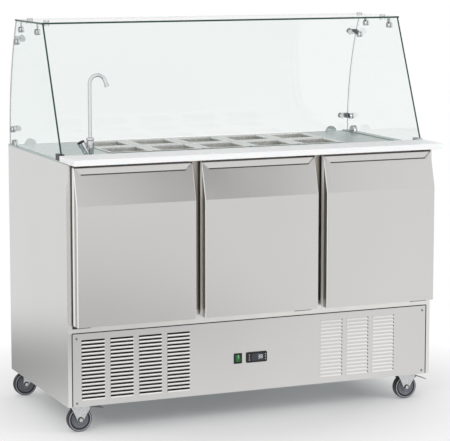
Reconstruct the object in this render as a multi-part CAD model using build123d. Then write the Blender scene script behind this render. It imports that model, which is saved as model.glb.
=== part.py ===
from build123d import *
import os
from math import asin, atan2, cos, radians, sin

os.makedirs("parts", exist_ok=True)

# Refrigerated saladette, millimetres. Front is -Y, +Z is up, and the origin is on the floor
# under the middle of the whole depth, from the board's front edge to the cable gland's end.

# Cabinet
BODY_W = 1365
BODY_D = 653
BODY_H = 820
CASTER_H = 93
SHEET = 1.2
MACHINE_H = 251.6
FLANGE_W = 15
PANEL_GAP = 1.2
FRAME_DEPTH = 26.5
SIDE_INSULATION = 40
TOP_INSULATION = 30
LINER_T = 1
FIT = 0.3
PIN_FIT = 0.05

# Worktop and board
WORKTOP_T = 3
LEDGE_OUT = 24
STRIP_W = 32.5
STRIP_H = 3
BOARD_OVERHANG = 81
BOARD_D = 150
BOARD_T = 20
BOARD_SIDE_GAP = 0.5
BOARD_EDGE_R = 2

# Pans, sixth size
PAN_COLUMNS = 5
PAN_ROWS = 2
PAN_W = 162
PAN_L = 176
PAN_DEPTH = 150
PAN_SHEET = 1
PAN_RIM_T = 2.2
PAN_CORNER_R = 14
PAN_TAPER = 5
PAN_WALL_IN = 10
PAN_GAP = 22
PAN_LAP = 8
PAN_BACK_MARGIN = 29.5
PAN_FIELD_X = 12
BAR_H = 2.5
BAR_CLEAR = 0.5
NECK_CLEAR = 1

# Doors
DOOR_COUNT = 3
DOOR_GAP = 32.5
DOOR_SIDE_IN = 17
DOOR_T = 47
DOOR_FOOT_H = 280
DOOR_TOP_IN = 11
DOOR_BEND_DROP = 126
DOOR_LEAN = 33
DOOR_SHEET = 1
DOOR_EDGE_R = 2.5
GRIP_H = 26
GRIP_POCKET = 20
GRIP_DEPTH = 12
GRIP_TOP_DEPTH = 4
OPENING_LAP_X = 30
OPENING_LAP_FOOT = 20
OPENING_LAP_TOP = 26
GASKET_T = 10
GASKET_W = 14
GASKET_IN_X = 16
GASKET_IN_Z = 5
HINGE_IN = 14
HINGE_BACK = 5.2
HINGE_PIN_R = 2.5
HINGE_PIN_L = 12
HINGE_LEAF_T = 3
HINGE_LEAF_W = 26
HINGE_LEAF_OUT = 8
HINGE_PLATE_W = 64
HINGE_PLATE_H = 13.5
HINGE_GAP = 0.5

# Shelves
SHELF_H = 466
SHELF_SIDE_IN = 11
SHELF_MARGIN_Y = 6
SHELF_EDGE_R = 3
SHELF_WIRE_R = 2
SHELF_WIRES = 13
RAIL_D = 14

# Base panel
LOUVRE_ROWS = 16
LOUVRE_PITCH_Z = 13
LOUVRE_W = 82
LOUVRE_SLOT_H = 5
LOUVRE_LIP_H = 6.5
LOUVRE_OUT = 3
LOUVRE_T = 0.8
LEFT_COLUMNS = 4
LEFT_FIRST_IN = 88.7
LEFT_FIRST_H = 22
RIGHT_COLUMNS = 3
RIGHT_LAST_IN = 189
RIGHT_FIRST_H = 28
LOUVRE_PITCH_X = 102.3
HOOD_END_GAP = 4
SCREW_SIDE_IN = 30.5
SCREW_LOW_H = 12.5
SCREW_HIGH_H = 232
SCREW_R = 4.5
SCREW_HEAD_T = 1.6
SCREW_SHANK_R = 2
SCREW_L = 8

# Controls
CONTROL_H = 117
CONTROLLER_X = 3
CONTROLLER_W = 79
CONTROLLER_H = 37
CONTROLLER_BODY_W = 71
CONTROLLER_BODY_H = 29
CONTROLLER_BODY_D = 60
BEZEL_T = 3
BEZEL_R = 5
SWITCH_X = -67
SWITCH_W = 30
SWITCH_H = 36
SWITCH_FLANGE_T = 2
SWITCH_BODY_D = 24
SWITCH_WALL = 2
ROCKER_W = 17
ROCKER_HALF_H = 12
ROCKER_BACK = 4
ROCKER_MID = 3
ROCKER_END = 4.6
ROCKER_PIVOT_IN = 2
ROCKER_TILT = 8
ROCKER_PIN_R = 1.5
SWITCH_MOUTH_CLEAR = 1.6

# Glass canopy
GLASS_T = 6
GLASS_SIDE_IN = 8.5
GLASS_BACK_IN = 0.5
GLASS_TOP_H = 446
GLASS_STRAIGHT_H = 30
GLASS_BACK_DRAW = 93
GLASS_TOP_FRONT_IN = 255.5
GLASS_KNEE_H = 20
GLASS_TOP_SIDE_IN = 2.5
GLASS_GAP = 1
CONNECTOR_LEG = 28
CONNECTOR_W = 20
CONNECTOR_T = 3
CONNECTOR_CAP_R = 10
CONNECTOR_CAP_IN = 5
CONNECTOR_CAP_OUT = 6
CONNECTOR_BOLT_R = 4
CONNECTOR_PAD = 0.2
BOLT_HOLE_CLEAR = 0.5
TOP_CONNECTOR_YS = (23.5, 210.5)
BACK_CONNECTOR_HS = (58, 385)
CLAMP_R = 20
CLAMP_CHEEK_T = 8
CLAMP_BACK_IN = 84.5
CLAMP_SIDE_IN = 56.5
CLAMP_OUTER_T = 5
BLOCK_L = 40
BLOCK_H = 21
BLOCK_WALL = 2.5
BLOCK_CHEEK_T = 7
BLOCK_GAP = 0.8

# Tap
TAP_SIDE_IN = 145.5
TAP_FROM_FRONT = 176.5
TAP_FLANGE_R = 21
TAP_FLANGE_T = 3
TAP_BODY_R = 12
TAP_BODY_H = 48
TAP_NECK_R = 8
TAP_NECK_H = 62
TAP_SHANK_R = 14
TAP_SHANK_L = 28
SPOUT_R = 6
SPOUT_BORE_R = 4.5
SPOUT_SOCKET = 25
SPOUT_STRAIGHT_H = 248
SPOUT_BEND_R = 28
SPOUT_BEND = 160
SPOUT_TAIL = 22
VALVE_IN = 11
VALVE_H = 8
VALVE_TILT = 28
VALVE_R = 10
VALVE_L = 29
KNOB_R = 12.5
KNOB_L = 20
SPINDLE_R = 4
SPINDLE_L = 12

# Casters
CASTER_FRONT_LEFT_IN = 37.5
CASTER_REAR_LEFT_IN = 51.5
CASTER_RIGHT_IN = 90.5
CASTER_FRONT_IN = 41.5
CASTER_BACK_IN = 36.5
WHEEL_R = 42.5
WHEEL_W = 28
WHEEL_TRAIL = 13
WHEEL_FACE_R = 32.5
WHEEL_HUB_R = 14
WHEEL_FACE_IN = 4
WHEEL_EDGE_R = 4
AXLE_R = 4
AXLE_HEAD_R = 7
AXLE_HEAD_T = 4
FORK_T = 3
FORK_CLEAR = 2
FORK_TOP_W = 44
FORK_BOSS_R = 11
CROWN_T = 5.3
CROWN_ROOM = 2
PLATE_SIZE = 70
PLATE_T = 4
RACE_R = 21
KINGPIN_R = 6
KINGPIN_HEAD_R = 9
KINGPIN_HEAD_T = 1.7
KINGPIN_FIT = 0.3
PEDAL_PIVOT_X = 27
PEDAL_PIVOT_UP = 41
PEDAL_PIN_R = 2.5
PEDAL_LUG_R = 4.5
PEDAL_REACH = 80
PEDAL_DROP = 24
PEDAL_START_X = 17
PEDAL_START_UP = 48.5
PEDAL_T = 3
PEDAL_SHOE_ANGLE = 52
PEDAL_SHOE_L = 18
PEDAL_SHOE_X0 = 23
PEDAL_SHOE_X1 = 44
PEDAL_SHOE_GAP = 1.5
PEDAL_RAISE = 11
EAR_X = 33
EAR_DROP = 13

# Machine compartment
TRAY_UP = 9
TRAY_T = 2
TRAY_RIM_H = 15
COMPRESSOR_X = 120
COMPRESSOR_Y = 60
COMPRESSOR_R = 85
COMPRESSOR_H = 170
COMPRESSOR_DOME_R = 40
COMPRESSOR_FOOT = 200
CONDENSER_SIDE_IN = 245.5
CONDENSER_W = 330
CONDENSER_D = 60
CONDENSER_H = 200
CONDENSER_FRONT_IN = 22
CONDENSER_SLOTS = 40
CONDENSER_SLOT_W = 5
CONDENSER_FRAME = 10
FAN_R = 92
FAN_HUB_R = 26
FAN_HUB_L = 24
FAN_BLADES = 5
FAN_BLADE_T = 2
FAN_PITCH_ANGLE = 30
FAN_TIP_CLEAR = 4
FAN_SHAFT_R = 3
SHROUD_W = 220
SHROUD_T = 2
SHROUD_D = 40
MOTOR_R = 32
MOTOR_L = 45
STRUT_W = 8
EVAPORATOR_W = 900
EVAPORATOR_RUNS = 8
EVAPORATOR_PITCH = 40
EVAPORATOR_TUBE_R = 5
EVAPORATOR_H = 330
EVAPORATOR_SLOT_CLEAR = 1
GLAND_SIDE_IN = 122.5
GLAND_H = 60
GLAND_R = 12
GLAND_OUT = 10
GLAND_THREAD_R = 10
GLAND_IN = 12
GLAND_BORE_R = 4.5

# Places that follow from the sizes above
HALF_W = BODY_W / 2
DEPTH = BOARD_OVERHANG + BODY_D + GLAND_OUT
FRONT = BOARD_OVERHANG - DEPTH / 2
BACK = FRONT + BODY_D
BASE_Z = CASTER_H
TOP_Z = BASE_Z + BODY_H
UNDER_TOP = TOP_Z - WORKTOP_T
STRIP_Z = TOP_Z + STRIP_H
RAIL_Z = BASE_Z + MACHINE_H
FRAME_BACK = FRONT + FRAME_DEPTH
INNER_X = HALF_W - SHEET
LINER_X = INNER_X - SIDE_INSULATION
BOARD_BACK = FRONT - BOARD_OVERHANG + BOARD_D

PITCH_X = PAN_W + PAN_GAP
PITCH_Y = PAN_L + PAN_GAP
PAN_XS = [PAN_FIELD_X + (i - (PAN_COLUMNS - 1) / 2) * PITCH_X for i in range(PAN_COLUMNS)]
PAN_BACK = BACK - PAN_BACK_MARGIN
PAN_YS = [PAN_BACK - PAN_L / 2 - (PAN_ROWS - 1 - i) * PITCH_Y for i in range(PAN_ROWS)]
PAN_FRONT = PAN_YS[0] - PAN_L / 2
FIELD_X0 = PAN_XS[0] - PAN_W / 2
FIELD_X1 = PAN_XS[-1] + PAN_W / 2
LINER_BACK = PAN_BACK - PAN_LAP + NECK_CLEAR + LINER_T
LINER_TOP = UNDER_TOP - TOP_INSULATION

DOOR_W = (BODY_W - 2 * DOOR_SIDE_IN - (DOOR_COUNT - 1) * DOOR_GAP) / DOOR_COUNT
DOOR_PITCH = DOOR_W + DOOR_GAP
DOOR_XS = [(i - (DOOR_COUNT - 1) / 2) * DOOR_PITCH for i in range(DOOR_COUNT)]
DOOR_HINGE_SIDES = [-1] + [1] * (DOOR_COUNT - 1)
DOOR_Z0 = BASE_Z + DOOR_FOOT_H
DOOR_Z1 = TOP_Z - DOOR_TOP_IN
DOOR_BEND_Z = DOOR_Z1 - DOOR_BEND_DROP
DOOR_BACK = FRONT - FIT - GASKET_T
DOOR_FRONT = DOOR_BACK - DOOR_T
OPENING_W = DOOR_W - 2 * OPENING_LAP_X
OPENING_Z0 = DOOR_Z0 + OPENING_LAP_FOOT
OPENING_Z1 = DOOR_Z1 - OPENING_LAP_TOP
SHELF_Z = BASE_Z + SHELF_H
SHELF_W = DOOR_W - 2 * SHELF_SIDE_IN

LEFT_FIRST_X = LEFT_FIRST_IN - HALF_W
RIGHT_FIRST_X = HALF_W - RIGHT_LAST_IN - (RIGHT_COLUMNS - 1) * LOUVRE_PITCH_X
SCREW_X = HALF_W - SCREW_SIDE_IN

GLASS_SIDE_X = HALF_W - GLASS_SIDE_IN
GLASS_TOP_SIDE_X = HALF_W - GLASS_TOP_SIDE_IN
CLAMP_BACK_X = HALF_W - CLAMP_BACK_IN
GLASS_Z1 = TOP_Z + GLASS_TOP_H
GLASS_BACK_Y = BACK - GLASS_BACK_IN
GLASS_BEND_Z = TOP_Z + GLASS_STRAIGHT_H
GLASS_TOP_FRONT_Y = FRONT + GLASS_TOP_FRONT_IN
BLOCK_FRONT = BOARD_BACK + BLOCK_GAP
GLASS_FOOT_FRONT = BLOCK_FRONT + BLOCK_WALL
GLASS_BACK_TOP_Y = GLASS_BACK_Y - GLASS_BACK_DRAW
BEND_RISE = GLASS_Z1 - GLASS_BEND_Z
BEND_ANGLE = 2 * atan2(GLASS_BACK_DRAW, BEND_RISE)
BEND_R = BEND_RISE / sin(BEND_ANGLE)

TAP_X = TAP_SIDE_IN - HALF_W
TAP_Y = FRONT + TAP_FROM_FRONT
CASTERS = {
    "front_left": (CASTER_FRONT_LEFT_IN - HALF_W, FRONT + CASTER_FRONT_IN, 1),
    "front_right": (HALF_W - CASTER_RIGHT_IN, FRONT + CASTER_FRONT_IN, 1),
    "rear_left": (CASTER_REAR_LEFT_IN - HALF_W, BACK - CASTER_BACK_IN, -1),
    "rear_right": (HALF_W - CASTER_RIGHT_IN, BACK - CASTER_BACK_IN, 1),
}
CROWN_Z0 = 2 * WHEEL_R + CROWN_ROOM
CROWN_Z1 = CROWN_Z0 + CROWN_T
FORK_IN = WHEEL_W / 2 + FORK_CLEAR
FORK_OUT = FORK_IN + FORK_T
CONDENSER_X = CONDENSER_SIDE_IN - HALF_W
GLAND_X = HALF_W - GLAND_SIDE_IN
FAN_X = CONDENSER_X
TRAY_Z = BASE_Z + TRAY_UP
FLOOR_Z = TRAY_Z + TRAY_T
FAN_Z = FLOOR_Z + CONDENSER_H / 2 + CONDENSER_FRAME
CONDENSER_Y0 = FRONT + CONDENSER_FRONT_IN
CONDENSER_Y1 = CONDENSER_Y0 + CONDENSER_D
FAN_Y = CONDENSER_Y1 + SHROUD_D / 2


def block(x0, x1, y0, y1, z0, z1):
    """A box between two corners."""
    middle = Pos((x0 + x1) / 2, (y0 + y1) / 2, (z0 + z1) / 2)
    return middle * Box(x1 - x0, y1 - y0, z1 - z0)


def rod(x, y, z, radius, length, axis):
    """A round bar of the given length, centred on a point and lying along X, Y or Z."""
    turn = {"X": Rot(0, 90, 0), "Y": Rot(90, 0, 0), "Z": Rot(0, 0, 0)}[axis]
    return Pos(x, y, z) * turn * Cylinder(radius, length)


def side_prism(points, x0, x1):
    """A polygon of (y, z) points, carried from x0 to x1."""
    outline = make_face(Polyline(*[(x0, y, z) for y, z in points], close=True))
    return extrude(outline, x1 - x0, dir=(1, 0, 0))


def front_prism(points, y0, y1):
    """A polygon of (x, z) points, carried from y0 to y1."""
    outline = make_face(Polyline(*[(x, y0, z) for x, z in points], close=True))
    return extrude(outline, y1 - y0, dir=(0, 1, 0))


def save(name, *shapes):
    """Write one named piece, or a group of like pieces, from its solids."""
    solids = [solid for shape in shapes for solid in shape.solids()]
    export_step(Compound(solids), f"parts/{name}.step")


def outer_casing():
    """Side sheets folded in at the foot's front, back sheet and the machine compartment's deck."""
    casing = block(-INNER_X, INNER_X, BACK - SHEET, BACK, BASE_Z, UNDER_TOP)
    casing += block(-INNER_X, INNER_X, FRAME_BACK, BACK - SHEET, RAIL_Z, RAIL_Z + SHEET)
    for side in (-1, 1):
        x0, x1 = sorted((side * INNER_X, side * HALF_W))
        casing += block(x0, x1, FRONT, BACK, BASE_Z, UNDER_TOP)
        x0, x1 = sorted((side * INNER_X, side * (HALF_W - FLANGE_W)))
        casing += block(x0, x1, FRONT, FRONT + SHEET, BASE_Z, RAIL_Z)
    return casing - rod(GLAND_X, BACK, BASE_Z + GLAND_H, GLAND_THREAD_R, 4 * SHEET, "Y")


def door_frame():
    """Folded front frame, hollow behind, with a lined opening for each door."""
    frame = block(-INNER_X, INNER_X, FRONT, FRAME_BACK, RAIL_Z, UNDER_TOP)
    frame -= block(
        -INNER_X + SHEET, INNER_X - SHEET, FRONT + SHEET, FRAME_BACK,
        RAIL_Z + SHEET, UNDER_TOP - SHEET,
    )
    half = OPENING_W / 2
    for x in DOOR_XS:
        frame += block(
            x - half - SHEET, x + half + SHEET, FRONT, FRAME_BACK,
            OPENING_Z0 - SHEET, OPENING_Z1 + SHEET,
        )
    for x in DOOR_XS:
        frame -= door_opening(x)
    return frame


def door_opening(x):
    """The space that a door closes, from in front of the frame to behind the liner's wall."""
    half = OPENING_W / 2
    return block(x - half, x + half, FRONT - 1, FRAME_BACK + 2 * LINER_T, OPENING_Z0, OPENING_Z1)


def pan_neck(outset):
    """The shaft under the pans, from the liner's top to the worktop, grown by outset."""
    x0 = FIELD_X0 + PAN_LAP - NECK_CLEAR - outset
    x1 = FIELD_X1 - PAN_LAP + NECK_CLEAR + outset
    y0 = PAN_FRONT + PAN_LAP - NECK_CLEAR - outset
    y1 = LINER_BACK - LINER_T + outset
    return block(x0, x1, y0, y1, LINER_TOP - 2 * LINER_T, UNDER_TOP)


def liner_outside():
    """The outer form of the liner: the food space and the neck up to the pans."""
    z0 = OPENING_Z0 - LINER_T
    return block(-LINER_X, LINER_X, FRAME_BACK, LINER_BACK, z0, LINER_TOP) + pan_neck(LINER_T)


def inner_liner():
    """One-piece liner with its front wall behind the frame and two rails for the shelves."""
    inside_x = LINER_X - LINER_T
    front = FRAME_BACK + LINER_T
    back = LINER_BACK - LINER_T
    liner = liner_outside()
    liner -= block(-inside_x, inside_x, front, back, OPENING_Z0, LINER_TOP - LINER_T)
    liner -= pan_neck(0)
    for x in DOOR_XS:
        liner -= door_opening(x)
    for y0 in (front, back - RAIL_D):
        liner += block(-inside_x, inside_x, y0, y0 + RAIL_D, SHELF_Z - RAIL_D, SHELF_Z)
    return liner


def insulation():
    """Foam between the casing, the frame and the liner."""
    foam = block(-INNER_X, INNER_X, FRAME_BACK, BACK - SHEET, RAIL_Z + SHEET, UNDER_TOP)
    foam -= liner_outside()
    runs_h = (EVAPORATOR_RUNS - 1) * EVAPORATOR_PITCH
    reach = EVAPORATOR_TUBE_R + EVAPORATOR_SLOT_CLEAR
    half = EVAPORATOR_W / 2 + EVAPORATOR_PITCH / 2 + reach
    z0 = BASE_Z + EVAPORATOR_H
    foam -= rod(TAP_X, TAP_Y, TOP_Z, TAP_SHANK_R, 2 * TAP_SHANK_L, "Z")
    return foam - block(
        -half, half, LINER_BACK, LINER_BACK + 2 * reach, z0 - reach, z0 + runs_h + reach
    )


def evaporator():
    """One tube folded to and fro behind the liner's back wall."""
    half = EVAPORATOR_W / 2
    y = LINER_BACK + EVAPORATOR_TUBE_R + EVAPORATOR_SLOT_CLEAR
    path = []
    for i in range(EVAPORATOR_RUNS):
        z = BASE_Z + EVAPORATOR_H + i * EVAPORATOR_PITCH
        side = 1 if i % 2 == 0 else -1
        path.append(Line((-side * half, y, z), (side * half, y, z)))
        if i < EVAPORATOR_RUNS - 1:
            crest = (side * (half + EVAPORATOR_PITCH / 2), y, z + EVAPORATOR_PITCH / 2)
            path.append(
                ThreePointArc((side * half, y, z), crest, (side * half, y, z + EVAPORATOR_PITCH))
            )
    start = Plane(origin=path[0] @ 0, z_dir=(1, 0, 0))
    return sweep(start * Circle(EVAPORATOR_TUBE_R), Wire(path))


def shelf(x):
    """A wire shelf: four edge bars and the wires between them."""
    y0 = FRAME_BACK + LINER_T + SHELF_MARGIN_Y
    y1 = LINER_BACK - LINER_T - SHELF_MARGIN_Y
    middle = (y0 + y1) / 2
    half = SHELF_W / 2 - SHELF_EDGE_R
    z = SHELF_Z + SHELF_EDGE_R
    grid = rod(x, y0 + SHELF_EDGE_R, z, SHELF_EDGE_R, SHELF_W, "X")
    grid += rod(x, y1 - SHELF_EDGE_R, z, SHELF_EDGE_R, SHELF_W, "X")
    for side in (-1, 1):
        grid += rod(x + side * half, middle, z, SHELF_EDGE_R, y1 - y0 - SHELF_EDGE_R, "Y")
    for i in range(SHELF_WIRES):
        wire_x = x - half + (i + 1) * 2 * half / (SHELF_WIRES + 1)
        grid += rod(wire_x, middle, z, SHELF_WIRE_R, y1 - y0 - 2 * SHELF_EDGE_R, "Y")
    return grid


def shelves():
    """A shelf in each bay, the outer two against the liner's side walls."""
    outer_x = LINER_X - LINER_T - SHELF_W / 2 - SHELF_MARGIN_Y
    return [shelf(x) for x in (-outer_x, 0, outer_x)]


def pan_cutouts():
    """The holes in the worktop, each smaller than its pan's rim by the lap."""
    holes = []
    for x in PAN_XS:
        for y in PAN_YS:
            sketch = RectangleRounded(PAN_W - 2 * PAN_LAP, PAN_L - 2 * PAN_LAP, PAN_CORNER_R)
            holes.append(Pos(x, y, UNDER_TOP - 1) * extrude(sketch, WORKTOP_T + 2))
    return holes


def worktop():
    """Top sheet with the pan cut-outs, the strips under the side glasses and the front ledge."""
    top = block(-HALF_W, HALF_W, FRONT - LEDGE_OUT, BACK, UNDER_TOP, TOP_Z)
    for side in (-1, 1):
        x0, x1 = sorted((side * (HALF_W - STRIP_W), side * HALF_W))
        top += block(x0, x1, BLOCK_FRONT, BACK, TOP_Z, STRIP_Z)
    for hole in pan_cutouts():
        top -= hole
    return top - rod(TAP_X, TAP_Y, TOP_Z, TAP_SHANK_R, 4 * WORKTOP_T, "Z")


def pan_divider_bars():
    """Long bars from front to back between the columns, short ones between the rows."""
    bar_w = PAN_GAP - 2 * BAR_CLEAR
    bars = []
    for x in PAN_XS[:-1]:
        middle = x + PITCH_X / 2
        bars.append(
            block(middle - bar_w / 2, middle + bar_w / 2, PAN_FRONT, PAN_BACK, TOP_Z, TOP_Z + BAR_H)
        )
    short = PAN_W / 2 + BAR_CLEAR
    for x in PAN_XS:
        for y in PAN_YS[:-1]:
            middle = y + PITCH_Y / 2
            bars.append(
                block(x - short, x + short, middle - bar_w / 2, middle + bar_w / 2, TOP_Z, TOP_Z + BAR_H)
            )
    return bars


def pan_shell(inset):
    """The tapered form of a pan below its rim, drawn in by inset, with its top at zero."""
    width = PAN_W - 2 * PAN_WALL_IN - 2 * inset
    length = PAN_L - 2 * PAN_WALL_IN - 2 * inset
    corner = PAN_CORNER_R - inset
    top = RectangleRounded(width, length, corner)
    foot = RectangleRounded(width - 2 * PAN_TAPER, length - 2 * PAN_TAPER, corner)
    return loft([top, Pos(0, 0, inset - PAN_DEPTH) * foot])


def pan():
    """A sixth-size pan, its rim's underside at zero."""
    rim = extrude(RectangleRounded(PAN_W, PAN_L, PAN_CORNER_R), PAN_RIM_T)
    rim = fillet(rim.edges().group_by(Axis.Z)[-1], PAN_RIM_T * 0.6)
    mouth = RectangleRounded(
        PAN_W - 2 * PAN_WALL_IN - 2 * PAN_SHEET,
        PAN_L - 2 * PAN_WALL_IN - 2 * PAN_SHEET,
        PAN_CORNER_R - PAN_SHEET,
    )
    body = rim + pan_shell(0)
    body -= Pos(0, 0, -PAN_SHEET / 2) * extrude(mouth, PAN_RIM_T + PAN_SHEET)
    return body - pan_shell(PAN_SHEET)


def cutting_board():
    """White board, its edges rounded."""
    half = HALF_W - BOARD_SIDE_GAP
    board = block(-half, half, FRONT - BOARD_OVERHANG, BOARD_BACK, TOP_Z, TOP_Z + BOARD_T)
    return fillet(board.edges(), BOARD_EDGE_R)


def louvre(x, z, hooded):
    """A slot and its pressed lip: open at the top, or a hood that is open below."""
    half = LOUVRE_W / 2
    slot_right = half + HOOD_END_GAP if hooded else half
    slot = block(
        x - half, x + slot_right, FRONT - 1, FRONT + SHEET + 1,
        z - LOUVRE_SLOT_H / 2, z + LOUVRE_SLOT_H / 2,
    )
    root = z + LOUVRE_SLOT_H / 2 if hooded else z - LOUVRE_SLOT_H / 2
    reach = -LOUVRE_LIP_H if hooded else LOUVRE_LIP_H
    points = [
        (FRONT, root),
        (FRONT - LOUVRE_OUT, root + reach),
        (FRONT - LOUVRE_OUT + LOUVRE_T, root + reach),
        (FRONT + LOUVRE_T, root),
    ]
    return slot, side_prism(points, x - half, x + half)


def louvre_places():
    """Centre and kind of every louvre, column by column."""
    places = []
    groups = ((LEFT_COLUMNS, LEFT_FIRST_X, LEFT_FIRST_H, False),
              (RIGHT_COLUMNS, RIGHT_FIRST_X, RIGHT_FIRST_H, True))
    for columns, first_x, first_h, hooded in groups:
        for i in range(columns):
            for j in range(LOUVRE_ROWS):
                places.append((first_x + i * LOUVRE_PITCH_X, first_h + j * LOUVRE_PITCH_Z, hooded))
    return places


def base_panel():
    """Screwed-on panel with the louvres and the cut-outs for the two controls."""
    edge = HALF_W - FLANGE_W - FIT
    panel = block(-edge, edge, FRONT, FRONT + SHEET, BASE_Z, RAIL_Z - PANEL_GAP)
    z = BASE_Z + CONTROL_H
    panel -= Pos(CONTROLLER_X, FRONT, z) * Box(CONTROLLER_BODY_W, 4 * SHEET, CONTROLLER_BODY_H)
    panel -= Pos(SWITCH_X, FRONT, z) * Box(
        SWITCH_W - 2 * SWITCH_FLANGE_T, 4 * SHEET, SWITCH_H - 2 * SWITCH_FLANGE_T
    )
    for x, up in screw_places():
        panel -= rod(x, FRONT, BASE_Z + up, SCREW_SHANK_R, 4 * SHEET, "Y")
    slots, lips = zip(*[louvre(x, BASE_Z + up, hooded) for x, up, hooded in louvre_places()])
    return (panel - list(slots)) + list(lips)


def screw_places():
    """Where the four panel screws are, as x and height above the base."""
    return [(side * SCREW_X, up) for side in (-1, 1) for up in (SCREW_LOW_H, SCREW_HIGH_H)]


def panel_screws():
    """Pan-head screws through the base panel."""
    screws = []
    for x, up in screw_places():
        head = rod(x, FRONT - SCREW_HEAD_T / 2, BASE_Z + up, SCREW_R, SCREW_HEAD_T, "Y")
        head = fillet(head.edges().group_by(Axis.Y)[0], SCREW_HEAD_T / 2)
        screws.append(head + rod(x, FRONT + SCREW_L / 2, BASE_Z + up, SCREW_SHANK_R, SCREW_L, "Y"))
    return screws


def controller():
    """Temperature controller: bezel in front of the panel, body behind it."""
    z = BASE_Z + CONTROL_H
    bezel = extrude(RectangleRounded(CONTROLLER_W, CONTROLLER_H, BEZEL_R), BEZEL_T)
    bezel = fillet(bezel.edges().group_by(Axis.Z)[-1], BEZEL_T / 3)
    bezel = Pos(CONTROLLER_X, FRONT, z) * Rot(90, 0, 0) * bezel
    body_y = FRONT + CONTROLLER_BODY_D / 2
    return bezel + Pos(CONTROLLER_X, body_y, z) * Box(
        CONTROLLER_BODY_W, CONTROLLER_BODY_D, CONTROLLER_BODY_H
    )


def rocker_pivot():
    """The pivot of the rocker: its distance behind the panel's face and its height."""
    return FRONT + ROCKER_PIVOT_IN, BASE_Z + CONTROL_H


def switch_frame():
    """Flanged frame with the well that the rocker sits in and its two pivot holes."""
    y, z = rocker_pivot()
    body_w = SWITCH_W - 2 * SWITCH_FLANGE_T
    body_h = SWITCH_H - 2 * SWITCH_FLANGE_T
    frame = Pos(SWITCH_X, FRONT - SWITCH_FLANGE_T / 2, z) * Box(SWITCH_W, SWITCH_FLANGE_T, SWITCH_H)
    frame += Pos(SWITCH_X, FRONT + SWITCH_BODY_D / 2, z) * Box(body_w, SWITCH_BODY_D, body_h)
    well_w = ROCKER_W + 2 * FIT
    well_h = 2 * (ROCKER_HALF_H + SWITCH_MOUTH_CLEAR)
    well_back = y + ROCKER_HALF_H
    frame -= block(
        SWITCH_X - well_w / 2, SWITCH_X + well_w / 2, FRONT - 2 * SWITCH_FLANGE_T, well_back,
        z - well_h / 2, z + well_h / 2,
    )
    pin_l = well_w + 2 * SWITCH_WALL
    return frame - rod(SWITCH_X, y, z, ROCKER_PIN_R + PIN_FIT, pin_l, "X")


def power_rocker():
    """Rocker with a shallow V face, one end pressed in, turning on two stub pins."""
    y, z = rocker_pivot()
    points = [
        (-ROCKER_MID, 0),
        (-ROCKER_END, ROCKER_HALF_H),
        (ROCKER_BACK, ROCKER_HALF_H),
        (ROCKER_BACK, -ROCKER_HALF_H),
        (-ROCKER_END, -ROCKER_HALF_H),
    ]
    rocker = side_prism(points, -ROCKER_W / 2, ROCKER_W / 2)
    rocker += rod(0, 0, 0, ROCKER_PIN_R, ROCKER_W + 2 * SWITCH_WALL, "X")
    return Pos(SWITCH_X, y, z) * Rot(-ROCKER_TILT, 0, 0) * rocker


def door_profile(back):
    """Side view of a door, upright below the bend and leaning back above it."""
    return [
        (DOOR_FRONT, DOOR_Z0),
        (DOOR_FRONT, DOOR_BEND_Z),
        (DOOR_FRONT + DOOR_LEAN, DOOR_Z1),
        (back, DOOR_Z1),
        (back, DOOR_Z0),
    ]


def door_face_y(z):
    """Where the leaning face of a door is, at a height above its bend."""
    return DOOR_FRONT + DOOR_LEAN * (z - DOOR_BEND_Z) / (DOOR_Z1 - DOOR_BEND_Z)


def grip(wall):
    """The finger space at a door's top, grown by wall: open above its lip, a pocket below it."""
    lip_z = DOOR_Z1 - GRIP_H
    pocket_z = lip_z - GRIP_POCKET
    foot = DOOR_W / 2 - GRIP_H
    over = 1 + wall
    back_low = (door_face_y(pocket_z) + GRIP_DEPTH + wall, pocket_z - wall)
    back_high = (DOOR_FRONT + DOOR_LEAN + GRIP_TOP_DEPTH + wall, DOOR_Z1 + over)
    far = DOOR_FRONT - 1
    mouth = side_prism(
        [(far, lip_z - wall), (far, DOOR_Z1 + over), back_high, back_low,
         (door_face_y(pocket_z) + DOOR_SHEET, pocket_z - wall),
         (door_face_y(lip_z) + DOOR_SHEET, lip_z - wall)],
        -DOOR_W / 2, DOOR_W / 2,
    )
    window = front_prism(
        [(-foot - wall, pocket_z - over), (foot + wall, pocket_z - over), (foot + wall, lip_z - wall),
         (foot + GRIP_H + over + wall, DOOR_Z1 + over), (-foot - GRIP_H - over - wall, DOOR_Z1 + over),
         (-foot - wall, lip_z - wall)],
        DOOR_FRONT - 2, DOOR_BACK,
    )
    return mouth & window


def hinge_place(x, side):
    """The upright hinge axis of a door."""
    return x + side * (DOOR_W / 2 - HINGE_IN), DOOR_BACK - HINGE_BACK


def hinge_bores(x, side):
    """The holes for a door's two pins."""
    hinge_x, hinge_y = hinge_place(x, side)
    length = 2 * (HINGE_PIN_L + HINGE_GAP)
    radius = HINGE_PIN_R + PIN_FIT
    return [rod(hinge_x, hinge_y, z, radius, length, "Z") for z in (DOOR_Z0, DOOR_Z1)]


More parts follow.
